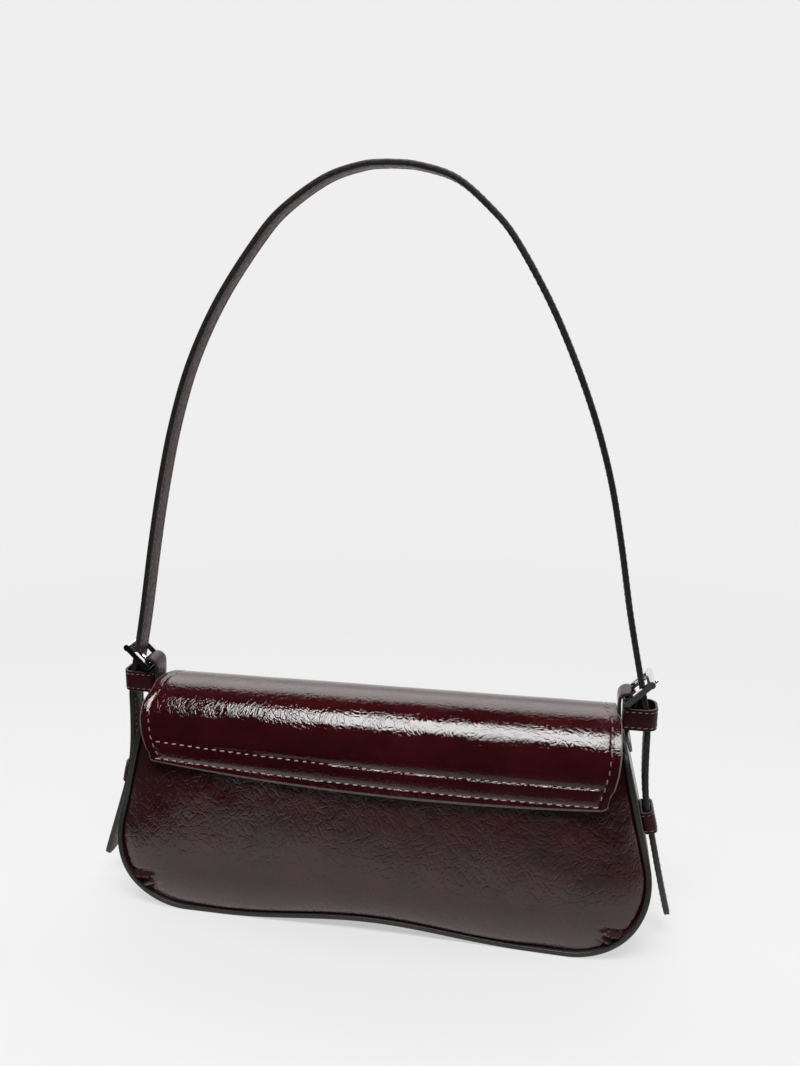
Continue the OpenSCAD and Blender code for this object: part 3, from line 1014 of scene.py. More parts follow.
def sweep(
    name: str,
    path: np.ndarray,
    normal: np.ndarray,
    side: np.ndarray,
    half: np.ndarray,
    profile: Profile,
    finishes: Sequence[Finish],
    closed: bool = False,
) -> bpy.types.Object:
    """A strip along a path.

    Args:
        name: The piece's name.
        path: The centre line.
        normal: The strip's outward normal at each point.
        side: The strip's width direction at each point.
        half: Half its width at each point.
        profile: The cross-section.
        finishes: Face and edge.
        closed: True if the path is a ring.

    Returns:
        The object.
    """
    share, inset, high = np.array(profile.points).T
    across = share[None, :] * half[:, None] - np.sign(share)[None, :] * inset[None, :]
    grid = path[:, None, :] + side[:, None, :] * across[..., None] + normal[:, None, :] * high[None, :, None]
    build = Builder(name)
    ids = build.points(grid)
    ring = np.hstack([ids, ids[:, :1]])
    if closed:
        ring = np.vstack([ring, ring[:1]])
    build.skin(ring, profile.marks())
    if not closed:
        build.face(ids[0], 1)
        build.face(ids[-1][::-1], 1)
    return build.build(finishes)


@dataclass(frozen=True)
class StitchRow:
    """One row of stitches: a line on a face and the face's normals along it."""

    points: np.ndarray
    normals: np.ndarray


@dataclass(frozen=True)
class Seam:
    """How a row is sewn, in millimetres; the slant is the sideways share of a stitch."""

    pitch: float = 4.3
    length: float = 2.6
    radius: float = 0.36
    slant: float = 0.10


def stitches(name: str, rows: Sequence[StitchRow], seam: Seam, finish: Finish) -> bpy.types.Object:
    """Sews rows of stitches as small bent capsules.

    Args:
        name: The piece's name.
        rows: The rows.
        seam: Pitch, length and thread.
        finish: The thread's material.

    Returns:
        One object with every stitch.
    """
    build = Builder(name)
    along = np.array([-0.5, -0.38, -0.14, 0.14, 0.38, 0.5])
    girth = np.array([0.25, 0.8, 1.0, 1.0, 0.8, 0.25])
    lift = np.array([-0.5, 0.0, 0.35, 0.35, 0.0, -0.5])
    turn = np.linspace(0.0, 2 * math.pi, 7)[:-1]
    for row in rows:
        run = lengths(row.points)
        number = max(1, int(run[-1] / seam.pitch))
        at = (np.arange(number) + 0.5) * run[-1] / number
        centre = sample(row.points, run, at)
        ahead = unit(sample(row.points, run, at + 0.4) - sample(row.points, run, at - 0.4))
        up = unit(sample(row.normals, run, at))
        ahead = unit(ahead + unit(np.cross(up, ahead)) * seam.slant)
        beside = np.cross(up, ahead)
        for k in range(number):
            spine = centre[k] + along[:, None] * seam.length * ahead[k]
            spine = spine + (lift * seam.radius)[:, None] * up[k]
            round_ = np.cos(turn)[:, None] * beside[k] + np.sin(turn)[:, None] * up[k]
            ids = build.points(spine[:, None, :] + girth[:, None, None] * seam.radius * round_[None])
            build.skin(np.hstack([ids, ids[:, :1]]), 0)
            build.face(ids[0][::-1], 0)
            build.face(ids[-1], 0)
    return build.build([finish], 80.0)


def cut(made: bpy.types.Object, cutter: bpy.types.Object) -> None:
    """Cuts one mesh out of another, for good.

    Args:
        made: The piece.
        cutter: What is cut out; it is removed.
    """
    modifier = made.modifiers.new("cut", "BOOLEAN")
    modifier.operation, modifier.object, modifier.solver = "DIFFERENCE", cutter, "EXACT"
    graph = bpy.context.evaluated_depsgraph_get()
    fresh = bpy.data.meshes.new_from_object(made.evaluated_get(graph), depsgraph=graph)
    made.modifiers.clear()
    old = made.data
    made.data = fresh
    bpy.data.meshes.remove(old)
    bpy.data.objects.remove(cutter)


# The body


@dataclass(frozen=True)
class BodySize:
    """The body's sizes in millimetres.

    Attributes:
        width: The greatest width; mouth_w is the mouth's width and mouth_z its height.
        depth: The depth at the bottom, over the seams.
        waist: The depth above the corners.
        waist_z: The heights between which the depth goes over into the waist.
        corner_r: The lower corners' radius.
        arch: How high the bottom's middle is off the floor.
        foot: The straight stretch of the bottom beside each corner.
        swell: How far the panels stand out beyond the sunk part of their seams.
        swell_z: The height of the panels' fullest place.
        lift: How much lower the panels begin to pull in toward the bottom seam.
        draw: How far the panels draw in toward the mouth.
        fall: How fast the panels drop toward their seams.
        shoulder: The heights between which the end strip narrows to the tab.
        leather: The panels' thickness; lining is the lining's.
        seam_h: How far the seams stand out of the panels.
        padding: The gap between leather and lining.
        strap_w: The end strip's width where it becomes the tab.
        facing_h: The height of the leather facing along the mouth.
        facing_out: How much narrower than the mouth the facing is.
        pocket: The slip pocket's width, lower edge and upper edge.
    """

    width: float = 282.0
    mouth_w: float = 252.4
    mouth_z: float = 106.0
    depth: float = 55.0
    waist: float = 39.0
    waist_z: tuple = (12.0, 60.0)
    corner_r: float = 40.0
    arch: float = 5.6
    foot: float = 20.0
    swell: float = 7.8
    swell_z: float = 23.0
    lift: float = 2.0
    draw: float = 6.8
    fall: float = 14.0
    shoulder: tuple = (80.0, 109.0)
    leather: float = 1.6
    seam_h: float = 3.2
    padding: float = 1.6
    lining: float = 0.6
    strap_w: float = 12.5
    facing_h: float = 9.0
    facing_out: float = 46.0
    pocket: tuple = (130.0, 28.0, 90.0)


@dataclass(frozen=True)
class Pleat:
    """One ridge or valley of a tuck in a lower front corner: a line from the seam to its tip."""

    seam: tuple
    tip: tuple
    height: float
    width: float

    def lift(self, x: np.ndarray, z: np.ndarray, hand: float, shift: float) -> np.ndarray:
        """How far the panel stands out along this fold.

        Args:
            x: The points' x.
            z: Their z.
            hand: -1 for the left corner and 1 for the right.
            shift: How much higher the fold lies than its plan.

        Returns:
            The height at each point.
        """
        a = np.array([hand * self.seam[0], self.seam[1] + shift])
        d = np.array([hand * self.tip[0], self.tip[1] + shift]) - a
        long = float(np.hypot(*d))
        t = ((x - a[0]) * d[0] + (z - a[1]) * d[1]) / long ** 2
        off = ((x - a[0]) * d[1] - (z - a[1]) * d[0]) / long
        fade = smoothstep((1.05 - t) / 0.45) * smoothstep((t + 0.5) / 0.3)
        return self.height * fade * np.exp(-((off / self.width) ** 2))


class BodyShape:
    """The form that the panels, the end strips and the lining share."""

    def __init__(self, size: BodySize) -> None:
        """Works out the outline.

        Args:
            size: The body's sizes.
        """
        self.size = size
        self.half_d = size.depth / 2
        self.corner_x = size.width / 2 - size.corner_r
        self.reach = self.corner_x - size.foot
        self.mouth = np.array([size.mouth_w / 2, size.mouth_z])
        to_corner = np.array([self.corner_x, size.corner_r]) - self.mouth
        dist = float(np.hypot(*to_corner))
        angle = math.atan2(to_corner[1], to_corner[0]) + math.asin(size.corner_r / dist)
        self.way = np.array([math.cos(angle), math.sin(angle)])
        self.facing = angle + math.pi / 2
        self.tangent = self.mouth + self.way * math.sqrt(dist * dist - size.corner_r ** 2)

    def side_x(self, z: np.ndarray) -> np.ndarray:
        """The straight side's distance from the middle at a height."""
        return self.mouth[0] + (z - self.mouth[1]) * self.way[0] / self.way[1]

    def half_width(self, z: np.ndarray) -> np.ndarray:
        """Half the outline's width at a height.

        Args:
            z: The heights.

        Returns:
            The widths.
        """
        r = self.size.corner_r
        low = self.corner_x + np.sqrt(np.maximum(0.0, r * r - (r - z) ** 2))
        return np.where(z >= self.tangent[1], self.side_x(z), low)

    def seam_depth(self, z: np.ndarray) -> np.ndarray:
        """Half the end strip's width at a height.

        Args:
            z: The heights.

        Returns:
            The widths.
        """
        s = self.size
        low, high = s.waist_z
        wide = self.half_d + (s.waist / 2 - self.half_d) * smoothstep((z - low) / (high - low))
        t = np.clip((z - s.shoulder[0]) / (s.shoulder[1] - s.shoulder[0]), 0.0, 1.0)
        return s.strap_w / 2 + (wide - s.strap_w / 2) * np.sqrt(1 - t ** 3)

    def seam_half(self, x: np.ndarray, z: np.ndarray) -> np.ndarray:
        """Half the end strip's width on the outline, a little more under the arch and at the right corner.

        Args:
            x: The points' x.
            z: Their z.

        Returns:
            The widths.
        """
        foot = smoothstep((24.0 - z) / 20.0)
        under = np.cos(np.pi / 2 * np.clip(np.abs(x) / 95.0, 0.0, 1.0)) ** 2
        return self.seam_depth(z) + foot * (1.2 * smoothstep((x - 60.0) / 50.0) + 0.4 * under)

    def arched(self, x: np.ndarray) -> np.ndarray:
        """The height of the bottom's arch over the floor."""
        return self.size.arch * np.cos(np.pi / 2 * np.clip(x / self.reach, -1.0, 1.0)) ** 2

    def middle(self, x: np.ndarray, z: np.ndarray) -> np.ndarray:
        """The panel's distance from the bag's middle plane, away from its seams.

        Args:
            x: The points' x.
            z: Their z.

        Returns:
            The distances.
        """
        s = self.size
        base = self.half_d - s.seam_h
        t = np.clip((s.swell_z + s.lift + self.arched(x) - z) / s.swell_z, 0.0, 1.0)
        low = base + s.swell * np.sqrt(1 - 0.98 * t * t)
        above = np.maximum(z - s.swell_z, 0.0) / (s.mouth_z - s.swell_z)
        return np.minimum(low, base + s.swell - s.draw * above ** 1.3)

    def panel_y(self, x: np.ndarray, z: np.ndarray) -> np.ndarray:
        """The panel's distance from the bag's middle plane.

        Args:
            x: The points' x.
            z: Their z.

        Returns:
            The distances.
        """
        fade = np.exp(-np.maximum(0.0, self.half_width(z) - np.abs(x)) / self.size.fall)
        mid = self.middle(x, z)
        return mid - (mid - (self.seam_depth(z) - self.size.seam_h)) * fade

    def outline(self, side: int, arc: int, bottom: int) -> np.ndarray:
        """Stations round the outline from the right mouth corner to the left one.

        Args:
            side: Steps down a side.
            arc: Steps round a corner.
            bottom: Steps from a foot to the middle.

        Returns:
            Rows of x, z and the outward normal.
        """
        s = self.size
        rows = []
        for k in range(side):
            p = self.mouth + (self.tangent - self.mouth) * k / side
            rows.append((*p, math.cos(self.facing), math.sin(self.facing)))
        for k in range(arc + 1):
            a = self.facing + (-math.pi / 2 - self.facing) * k / arc
            way = np.array([math.cos(a), math.sin(a)])
            rows.append((*(way * s.corner_r + (self.corner_x, s.corner_r)), *way))
        for k in range(1, 4):
            rows.append((self.corner_x - s.foot * k / 4, 0.0, 0.0, -1.0))
        for k in range(bottom + 1):
            x = self.reach * (1 - k / bottom)
            slope = -s.arch * math.pi / (2 * self.reach) * math.sin(math.pi * x / self.reach)
            size = math.hypot(slope, 1.0)
            rows.append((x, float(self.arched(x)), slope / size, -1.0 / size))
        half = np.array(rows)
        left = half[-2::-1] * np.array([-1.0, 1.0, -1.0, 1.0])
        return np.vstack([half, left])


class Body:
    """The soft body: panels, seams, end strips with tabs, and what is inside.

    Attributes:
        EDGE: The raised seam's thickness, seen from the front.
        GAP: How far inside the raised seam the panel begins.
        INNER_SIDE: The raised seam's inner side: inset from the edge, and drop below its top.
        BEAD: The painted edge's cross-section.
        RINGS: Rings of points between the seam and the mouth.
        PLEATS: The right corner's tuck; the left one mirrors it.
        LEFT_TUCK: How much higher the left corner's tuck lies.
        SLOT: The prong slot's length, width and depth.
        SLOT_LEAN: The slope of the strap through the buckle, in degrees.
        SLOT_AT: The slot's place from the heel bar: up the slope, and out of it along x and z.
    """

    EDGE = 2.7
    GAP = 1.3
    INNER_SIDE = ((0.0, 0.15), (0.0, 0.9), (0.05, 1.7), (0.35, 2.2), (0.75, 1.9))
    BEAD = (
        (-1.0, 0.0, -1.1), (-1.0, 0.05, -0.1), (-1.0, 0.45, 0.28), (-0.12, 0.0, 0.36), (0.0, 0.0, 0.28),
        (0.12, 0.0, 0.36), (1.0, 0.45, 0.28), (1.0, 0.05, -0.1), (1.0, 0.0, -1.1),
    )
    RINGS = 66
    PLEATS = (
        Pleat((133.5, 12.6), (115.0, 17.0), 2.2, 1.3),
        Pleat((127.8, 6.6), (115.0, 14.6), 2.0, 1.2),
        Pleat((131.0, 9.6), (116.5, 15.4), -2.2, 0.9),
        Pleat((134.0, 15.6), (113.0, 19.4), -1.2, 0.8),
        Pleat((125.0, 5.4), (112.5, 13.0), -1.0, 0.8),
    )
    LEFT_TUCK = 3.6
    SLOT = (8.0, 3.4, 6.0)
    SLOT_LEAN = 45.0
    SLOT_AT = (4.6, 0.9, -0.9)

    def __init__(self, size: BodySize, tab: "TabSize") -> None:
        """Keeps the sizes.

        Args:
            size: The body's sizes.
            tab: The tabs' sizes.
        """
        self.size = size
        self.tab = tab
        self.shape = BodyShape(size)
        self.stations = self.shape.outline(40, 60, 60)

    def inset(self, amount: float) -> np.ndarray:
        """The outline moved in by an amount, as x and z."""
        return self.stations[:, :2] - self.stations[:, 2:] * amount

    def in_space(self, flat: np.ndarray, y: np.ndarray) -> np.ndarray:
        """Points from their x and z, and their y."""
        return np.stack([flat[..., 0], np.broadcast_to(y, flat.shape[:-1]), flat[..., 1]], axis=-1)

    def targets(self, inset: float) -> np.ndarray:
        """Where each station's line ends on the mouth's edge.

        Args:
            inset: How far the mouth's ends move in.

        Returns:
            Rows of x and z.
        """
        n = len(self.stations)
        top = self.shape.mouth[0] - inset
        return np.stack([top * (1 - 2 * np.arange(n) / (n - 1)), np.full(n, self.size.mouth_z)], axis=1)

    def face(self, sign: float, start: float, rings: int, depth: float) -> np.ndarray:
        """A grid of points that follows a panel.

        Args:
            sign: -1 for the front and 1 for the back.
            start: The inset where the grid begins.
            rings: Rings between the seam and the mouth's edge.
            depth: How far behind the panel's face.

        Returns:
            Stations by rings of points.
        """
        share = ((np.arange(rings + 1) / rings) ** 1.3)[None, :, None]
        flat = self.inset(start)[:, None, :] * (1 - share) + self.targets(start)[:, None, :] * share
        return self.in_space(flat, sign * (self.shape.panel_y(flat[..., 0], flat[..., 1]) - depth))

    def with_seam(self, grid: np.ndarray, sign: float) -> np.ndarray:
        """Adds the raised seam's inner side to a panel, which rises to meet it.

        Args:
            grid: The panel's points.
            sign: -1 for the front and 1 for the back.

        Returns:
            The grid with more rings at its start.
        """
        deep = self.shape.seam_half(self.stations[:, 0], self.stations[:, 1])
        lead = []
        for inset, drop in self.INNER_SIDE:
            lead.append(self.in_space(self.inset(self.EDGE + inset), sign * (deep - drop)))
        run = np.hypot(grid[..., 0] - grid[:, :1, 0], grid[..., 2] - grid[:, :1, 2])
        short = np.maximum(0.0, deep - 1.0 - sign * grid[:, 0, 1])
        grid[..., 1] += sign * short[:, None] * np.exp(-run / 6.0)
        return np.concatenate([np.stack(lead, axis=1), grid], axis=1)

    def wrinkles(self, grid: np.ndarray, sign: float) -> np.ndarray:
        """Moves a panel's points to soft dents, wrinkles and corner tucks.

        Args:
            grid: The panel's points, with its seam.
            sign: -1 for the front and 1 for the back.

        Returns:
            The moved grid.
        """
        x, z = grid[..., 0], grid[..., 2]
        ring = (np.arange(grid.shape[1]) - len(self.INNER_SIDE))[None, :]
        dents = 0.16 * ripple(grid, 0.030, 3.0 + sign) + 0.07 * ripple(grid, 0.09, 9.0, 0.6)
        dents += 0.14 * np.exp(-((z - 72.0) / 9.0) ** 2) * ripple(grid, 0.16, 17.0, 0.5)
        out = smoothstep(ring / 4.0) * smoothstep((self.size.mouth_z - z) / 8.0) * dents
        if sign < 0:
            near = smoothstep((ring + 3) / 3.0)
            for pleat in self.PLEATS:
                out = out + near * (pleat.lift(x, z, -1.0, self.LEFT_TUCK) + pleat.lift(x, z, 1.0, 0.0))
        moved = grid.copy()
        moved[..., 1] += sign * out
        return moved

    def panels(self) -> None:
        """Builds the front and back panels with their raised seams."""
        finishes = [PATENT, SEAM_PAINT, BACK_PATENT]
        for sign, node in ((-1.0, "front_panel"), (1.0, "back_panel")):
            grid = self.with_seam(self.face(sign, self.EDGE + self.GAP, self.RINGS, 0.0), sign)
            grid = self.wrinkles(grid, sign)
            thick = self.size.leather - 0.25
            made = leather_sheet(f"{node}_leather", grid, thick, finishes, (0.0, sign, 0.0), 0.1)
            offer(made, Part.BAG, Slot.PATENT, node)
            self.bead(sign, node)

    def bead(self, sign: float, node: str) -> None:
        """The painted edge of a raised seam.

        Args:
            sign: -1 for the front and 1 for the back.
            node: The panel's name.
        """
        s = self.stations
        deep = self.shape.seam_half(s[:, 0], s[:, 1])
        path = self.in_space(self.inset(self.EDGE / 2 - 0.05), sign * deep)
        normal = np.tile([0.0, sign, 0.0], (len(s), 1))
        side = self.in_space(s[:, 2:], 0.0)
        half = np.full(len(s), self.EDGE / 2)
        profile = Profile(self.BEAD, 9.0)
        made = sweep(f"{node}_edge", path, normal, side, half, profile, [SEAM_PAINT, SEAM_PAINT])
        offer(made, Part.BAG, Slot.PATENT)

    def end_strip(self) -> None:
        """Builds the gusset that narrows into a tab round each buckle's heel bar."""
        s, t = self.size, self.tab
        fold, rise = t.fold(self.shape, s.leather), t.rise(self.shape, s.leather)
        right = np.vstack([round_off(fold, 3), round_off(rise, 2)[1:]])
        line = np.vstack([right, self.inset(s.leather / 2)[1:-1], right[::-1] * np.array([-1.0, 1.0])])
        line = evenly(line, 1.3)
        path, normal, side = ribbon(line, -1.0)
        x, z = line[:, 0], line[:, 1]
        half = np.where(z > s.shoulder[1], t.width / 2, self.shape.seam_half(x, z))
        half = np.convolve(np.pad(half, 2, mode="edge"), np.ones(5) / 5, mode="valid")
        profile = Profile.strip(s.leather - 0.1, 0.35, crown=0.05)
        made = sweep("gusset_and_tabs", path, normal, side, half, profile, [BACK_PATENT, EDGE_PAINT])
        for hand in (-1.0, 1.0):
            self.cut_slot(made, hand)
        bend(made, Part.STRAP, Slot.GUSSET, "gusset", "tab_left", "tab_right")

    def cut_slot(self, made: bpy.types.Object, hand: float) -> None:
        """Cuts the slot for a prong into the tab's loop.

        Args:
            made: The strip with both tabs.
            hand: -1 on the left and 1 on the right.
        """
        lean = math.radians(self.SLOT_LEAN)
        up, out, down = self.SLOT_AT
        x = self.tab.heel[0] + up * math.cos(lean) + out
        z = self.tab.heel[1] + up * math.sin(lean) + down
        cutter = bpy.data.objects.new("cutter", bpy.data.meshes.new("cutter"))
        place = Matrix.Translation((hand * x * MM, 0.0, z * MM)) @ Matrix.Rotation(-lean * hand, 4, "Y")
        size = Matrix.Diagonal((*(side * MM for side in self.SLOT), 1.0))
        work = bmesh.new()
        bmesh.ops.create_cube(work, size=1.0, matrix=place @ size)
        work.to_mesh(cutter.data)
        work.free()
        bpy.context.scene.collection.objects.link(cutter)
        cut(made, cutter)

    def patch(self, sign: float, width: float, low: float, high: float, depth: float) -> np.ndarray:
        """A level patch that follows a panel at a depth behind its face."""
        x, z = np.meshgrid(np.linspace(width / 2, -width / 2, 50), np.linspace(low, high, 16), indexing="ij")
        return np.stack([x, sign * (self.shape.panel_y(x, z) - depth), z], axis=-1)

    def inside(self) -> None:
        """Builds lining, facings and pocket."""
        s = self.size
        back = s.leather + s.padding
        cloth, facing = [LINING] * 3, [BACK_PATENT, EDGE_PAINT, BACK_PATENT]
        for sign, name in ((-1.0, "front"), (1.0, "back")):
            outward = (0.0, sign, 0.0)
            grid = self.face(sign, 2 * s.leather + 4.6, 24, back)
            made = leather_sheet(f"lining_{name}_cloth", grid, s.lining, cloth, outward)
            offer(made, Part.BAG, Slot.LINING, f"lining_{name}")
            low = s.mouth_z - s.facing_h
            grid = self.patch(sign, s.mouth_w - s.facing_out, low, s.mouth_z, s.leather + 0.3)
            made = leather_sheet(f"facing_{name}_leather", grid, 0.9, facing, outward)
            offer(made, Part.BAG, Slot.GUSSET, f"facing_{name}")
        grid = self.patch(1.0, *s.pocket, back + s.lining + 0.3)
        offer(leather_sheet("pocket_cloth", grid, 0.5, cloth, -Y_AXIS), Part.BAG, Slot.LINING, "slip_pocket")
        line = self.inset(1.65 + back + 0.3)
        half = self.shape.panel_y(line[:, 0], line[:, 1]) - back - s.lining - 0.1
        path, normal = self.in_space(line, 0.0), self.in_space(self.stations[:, 2:], 0.0)
        side = np.tile(Y_AXIS, (len(line), 1))
        made = sweep("lining_end_cloth", path, normal, side, half, Profile.strip(0.55, 0.2), [LINING, LINING])
        offer(made, Part.BAG, Slot.LINING, "lining_gusset")

    def build(self) -> None:
        """Builds every piece of the body."""
        self.panels()
        self.end_strip()
        self.inside()
        dress("base_board", FIBRE)
        dress("panel_magnet", STEEL)


# The flap


@dataclass(frozen=True)
class FlapSize:
    """The flap's sizes in millimetres.

    Attributes:
        roll_r: The roll's outer radius over the mouth; roll_z is its axis's height.
        thick: Leather and lining together.
        flare: How far the front leans out, per millimetre down.
        hem: The lowest height of the lower stitch row.
        bow: How fast that row rises to both sides.
        hem_x: Where that row is lowest, from the middle.
        margin: The edge's distance below that row in the middle, and how much less it is at the ends.
        low: The height that the front hangs down to.
        yoke: The height of the sewn edge at the back.
        front_w: The width that the grid's lines near the sides are counted from.
        corner_w: The lower edge's width over its corners; corner_r is their radius.
        band: The distance between the two stitch rows.
        side_row: The side rows' distance from the edge.
        turns: The angles round the flap, in degrees, at which the next two are measured: 0 to 180 round the
            roll, and 40 more down the front.
        left: Half the width on the left side at those angles, as in the photograph.
        right: Half the width on the right side.
    """

    roll_r: float = 30.0
    roll_z: float = 94.0
    thick: float = 2.5
    flare: float = 0.12
    hem: float = 84.3
    bow: float = 0.000185
    hem_x: float = 55.0
    margin: tuple = (4.4, 2.7)
    low: float = 80.0
    yoke: float = 73.4
    front_w: float = 245.4
    corner_w: float = 235.0
    corner_r: float = 4.0
    band: float = 8.9
    side_row: float = 4.5
    turns: tuple = (0, 40, 60, 78, 90, 101, 108, 119, 133, 149, 166, 179, 195, 220)
    left: tuple = (
        117.5, 117.0, 116.5, 116.8, 118.6, 120.2, 120.4, 120.4, 122.6, 122.3, 120.2, 117.9, 116.2, 115.6,
    )
    right: tuple = (
        119.5, 119.5, 119.8, 120.1, 120.2, 120.3, 122.0, 122.4, 122.4, 122.3, 121.4, 119.9, 118.4, 117.0,
    )


class Flap:
    """The flap: sewn to the back, rolled over the top and down the front."""

    def __init__(self, size: FlapSize, shape: BodyShape) -> None:
        """Keeps the sizes and works out how far along the flap the front begins.

        Args:
            size: The flap's sizes.
            shape: The body's form.
        """
        self.size = size
        self.shape = shape
        self.back_len = size.roll_z - size.yoke
        self.roll_len = math.pi * size.roll_r
        self.front = self.back_len + self.roll_len
        self.front_len = size.roll_z - size.low

    def hem(self, x: np.ndarray) -> np.ndarray:
        """The height of the lower stitch row."""
        return self.size.hem + self.size.bow * (x - self.size.hem_x) ** 2

    def lower_edge(self, x: np.ndarray) -> np.ndarray:
        """The height of the flap's lower edge.

        Args:
            x: The distance from the middle.

        Returns:
            The heights.
        """
        s = self.size
        inner = s.corner_w / 2 - s.corner_r
        over = np.clip((np.abs(x) - inner) / s.corner_r, 0.0, 1.0)
        margin = s.margin[0] - s.margin[1] * (np.minimum(np.abs(x), inner) / inner) ** 2
        return self.hem(x) - margin + s.corner_r * (1 - np.sqrt(1 - over ** 2))

    def half_width(self, run: np.ndarray, hand: Number) -> np.ndarray:
        """Half the flap's width on one side.

        Args:
            run: The distance along the flap from its sewn edge.
            hand: Below 0 on the left.

        Returns:
            The widths.
        """
        s = self.size
        turn = np.clip((run - self.back_len) / self.roll_len, 0.0, 1.0) * 180.0
        angle = turn + np.clip((run - self.front) / self.front_len, 0.0, 1.0) * 40.0
        left, right = (np.interp(angle, s.turns, widths) for widths in (s.left, s.right))
        return np.where(np.asarray(hand) < 0, left, right)

    def at(self, x: np.ndarray, run: np.ndarray) -> tuple:
        """Points and normals on the outer face.

        Args:
            x: The distance from the middle.
            run: The distance along the flap from its sewn edge.

        Returns:
            Points and unit normals.
        """
        s = self.size
        x, run = np.broadcast_arrays(np.asarray(x, float), np.asarray(run, float))
        z_back = s.yoke + run
        mix = smoothstep((z_back - 84.0) / 10.0)
        y_back = (self.shape.panel_y(x, z_back) + 0.3 + s.thick) * (1 - mix) + s.roll_r * mix
        turn = np.clip((run - self.back_len) / s.roll_r, 0.0, math.pi)
        share = np.clip((run - self.front) / self.front_len, 0.0, 1.0)
        z_front = s.roll_z - share * (s.roll_z - self.lower_edge(x))
        y_front = -(s.roll_r + (s.roll_z - z_front) * s.flare)
        tilt = math.atan(s.flare)

        def choose(back: Number, roll: Number, front: Number) -> np.ndarray:
            """The value on the back, on the roll or on the front."""
            return np.where(run < self.back_len, back, np.where(run > self.front, front, roll))

        y = choose(y_back, s.roll_r * np.cos(turn), y_front)
        z = choose(z_back, s.roll_z + s.roll_r * np.sin(turn), z_front)
        normal_y = choose(1.0, np.cos(turn), -math.cos(tilt))
        normal_z = choose(0.0, np.sin(turn), math.sin(tilt))
        return np.stack([x, y, z], axis=-1), np.stack([np.zeros_like(y), normal_y, normal_z], axis=-1)

    def relief(self, x: np.ndarray, run: np.ndarray, points: np.ndarray) -> np.ndarray:
        """How far the outer face stands out of its plain form, with puffed band, grooves and soft dents.

        Args:
            x: The distance from the middle.
            run: The distance along the flap.
            points: The plain form's points.

        Returns:
            The height at each point.
        """
        s = self.size
        above = np.where(run > self.front, points[..., 2], self.front - run + s.roll_z) - self.hem(x)
        beside = self.half_width(run, x) - np.abs(x)
        groove = np.zeros_like(above)
        for row in (0.0, s.band):
            off = above - row
            groove += np.exp(-np.where(off > 0.0, off / 1.25, (off / 0.5) ** 2))
        groove = groove * (beside > s.side_row)
        groove = np.maximum(groove, np.exp(-(((beside - s.side_row) / 0.7) ** 2)) * (above > 0.0))
        band = np.sin(np.pi * np.clip(above / s.band, 0.0, 1.0)) ** 0.7
        calm = smoothstep((above - s.band) / 12.0) * smoothstep((beside - 2.0) / 10.0)
        calm = calm * smoothstep((run - 8.0) / 10.0)
        dents = 0.14 * ripple(points, 0.022, 31.0) + 0.03 * ripple(points, 0.08, 37.0, 0.6)
        return 0.3 * band * smoothstep((beside - s.side_row) / 4.0) - 0.5 * groove + dents * calm

    def surface(self) -> np.ndarray:
        """The outer face's grid, with closer lines near its sides and down its front."""
        edge = np.array([0.0, 0.4, 1.0, 2.0, 3.0, 3.8, 4.5, 5.2, 6.5, 8.5]) / (self.size.front_w / 2)
        share = np.concatenate([-1 + edge, np.linspace(-0.915, 0.915, 110), (1 - edge)[::-1]])
        down = np.linspace(self.front, self.front + self.front_len, 40)
        run = np.concatenate([np.linspace(0, self.front, 96)[:-1], down])
        share, run = np.meshgrid(share, run, indexing="ij")
        x = share * self.half_width(run, share)
        points, normals = self.at(x, run)
        return points + normals * self.relief(x, run, points)[..., None]

    def run_at(self, x: np.ndarray, above: float) -> np.ndarray:
        """The distance along the flap at a height above the lower row.

        Args:
            x: The distance from the middle.
            above: The height.

        Returns:
            The distances from the sewn edge.
        """
        s = self.size
        down = s.roll_z - self.hem(x) - above
        share = np.maximum(down, 0.0) / (s.roll_z - self.lower_edge(x))
        return self.front + share * self.front_len + np.minimum(down, 0.0)

    def rows(self) -> tuple:
        """The stitch rows: the two long ones of the band, and those down the sides."""
        s = self.size
        end = s.corner_w / 2 - s.side_row + 0.5
        x = np.linspace(end, -end, 120)
        long = [self.sewn(x, self.run_at(x, high)) for high in (0.0, s.band)]
        run = np.linspace(3.0, self.front + self.front_len * 0.62, 110)
        sides = [self.sewn(hand * (self.half_width(run, hand) - s.side_row), run) for hand in (-1.0, 1.0)]
        return long, sides

    def sewn(self, x: np.ndarray, run: np.ndarray) -> StitchRow:
        """A stitch row on the outer face."""
        points, normals = self.at(x, run)
        return StitchRow(points + normals * (self.relief(x, run, points) + 0.12)[:, None], normals)

    def build(self) -> None:
        """Builds the flap's leather, its stitches and its magnet."""
        finishes = [FLAP_PATENT, FLAP_EDGE_PAINTED_LIGHT, BACK_PATENT]
        made = leather_sheet(
            "flap_leather", self.surface(), self.size.thick, finishes, (0.0, 0.0, 1.0), 0.18, (1, 3)
        )
        bend(made, Part.FLAP, Slot.PATENT, "flap_outer", "flap_lining", "back_yoke")
        long, sides = self.rows()
        bend(stitches("flap_stitches", long, Seam(), THREAD), Part.FLAP, Slot.PATENT)
        bend(stitches("flap_side_stitches", sides, Seam(), STRAP_THREAD), Part.FLAP, Slot.PATENT)
        dress("flap_magnet", STEEL)


# Strap, tabs and buckles


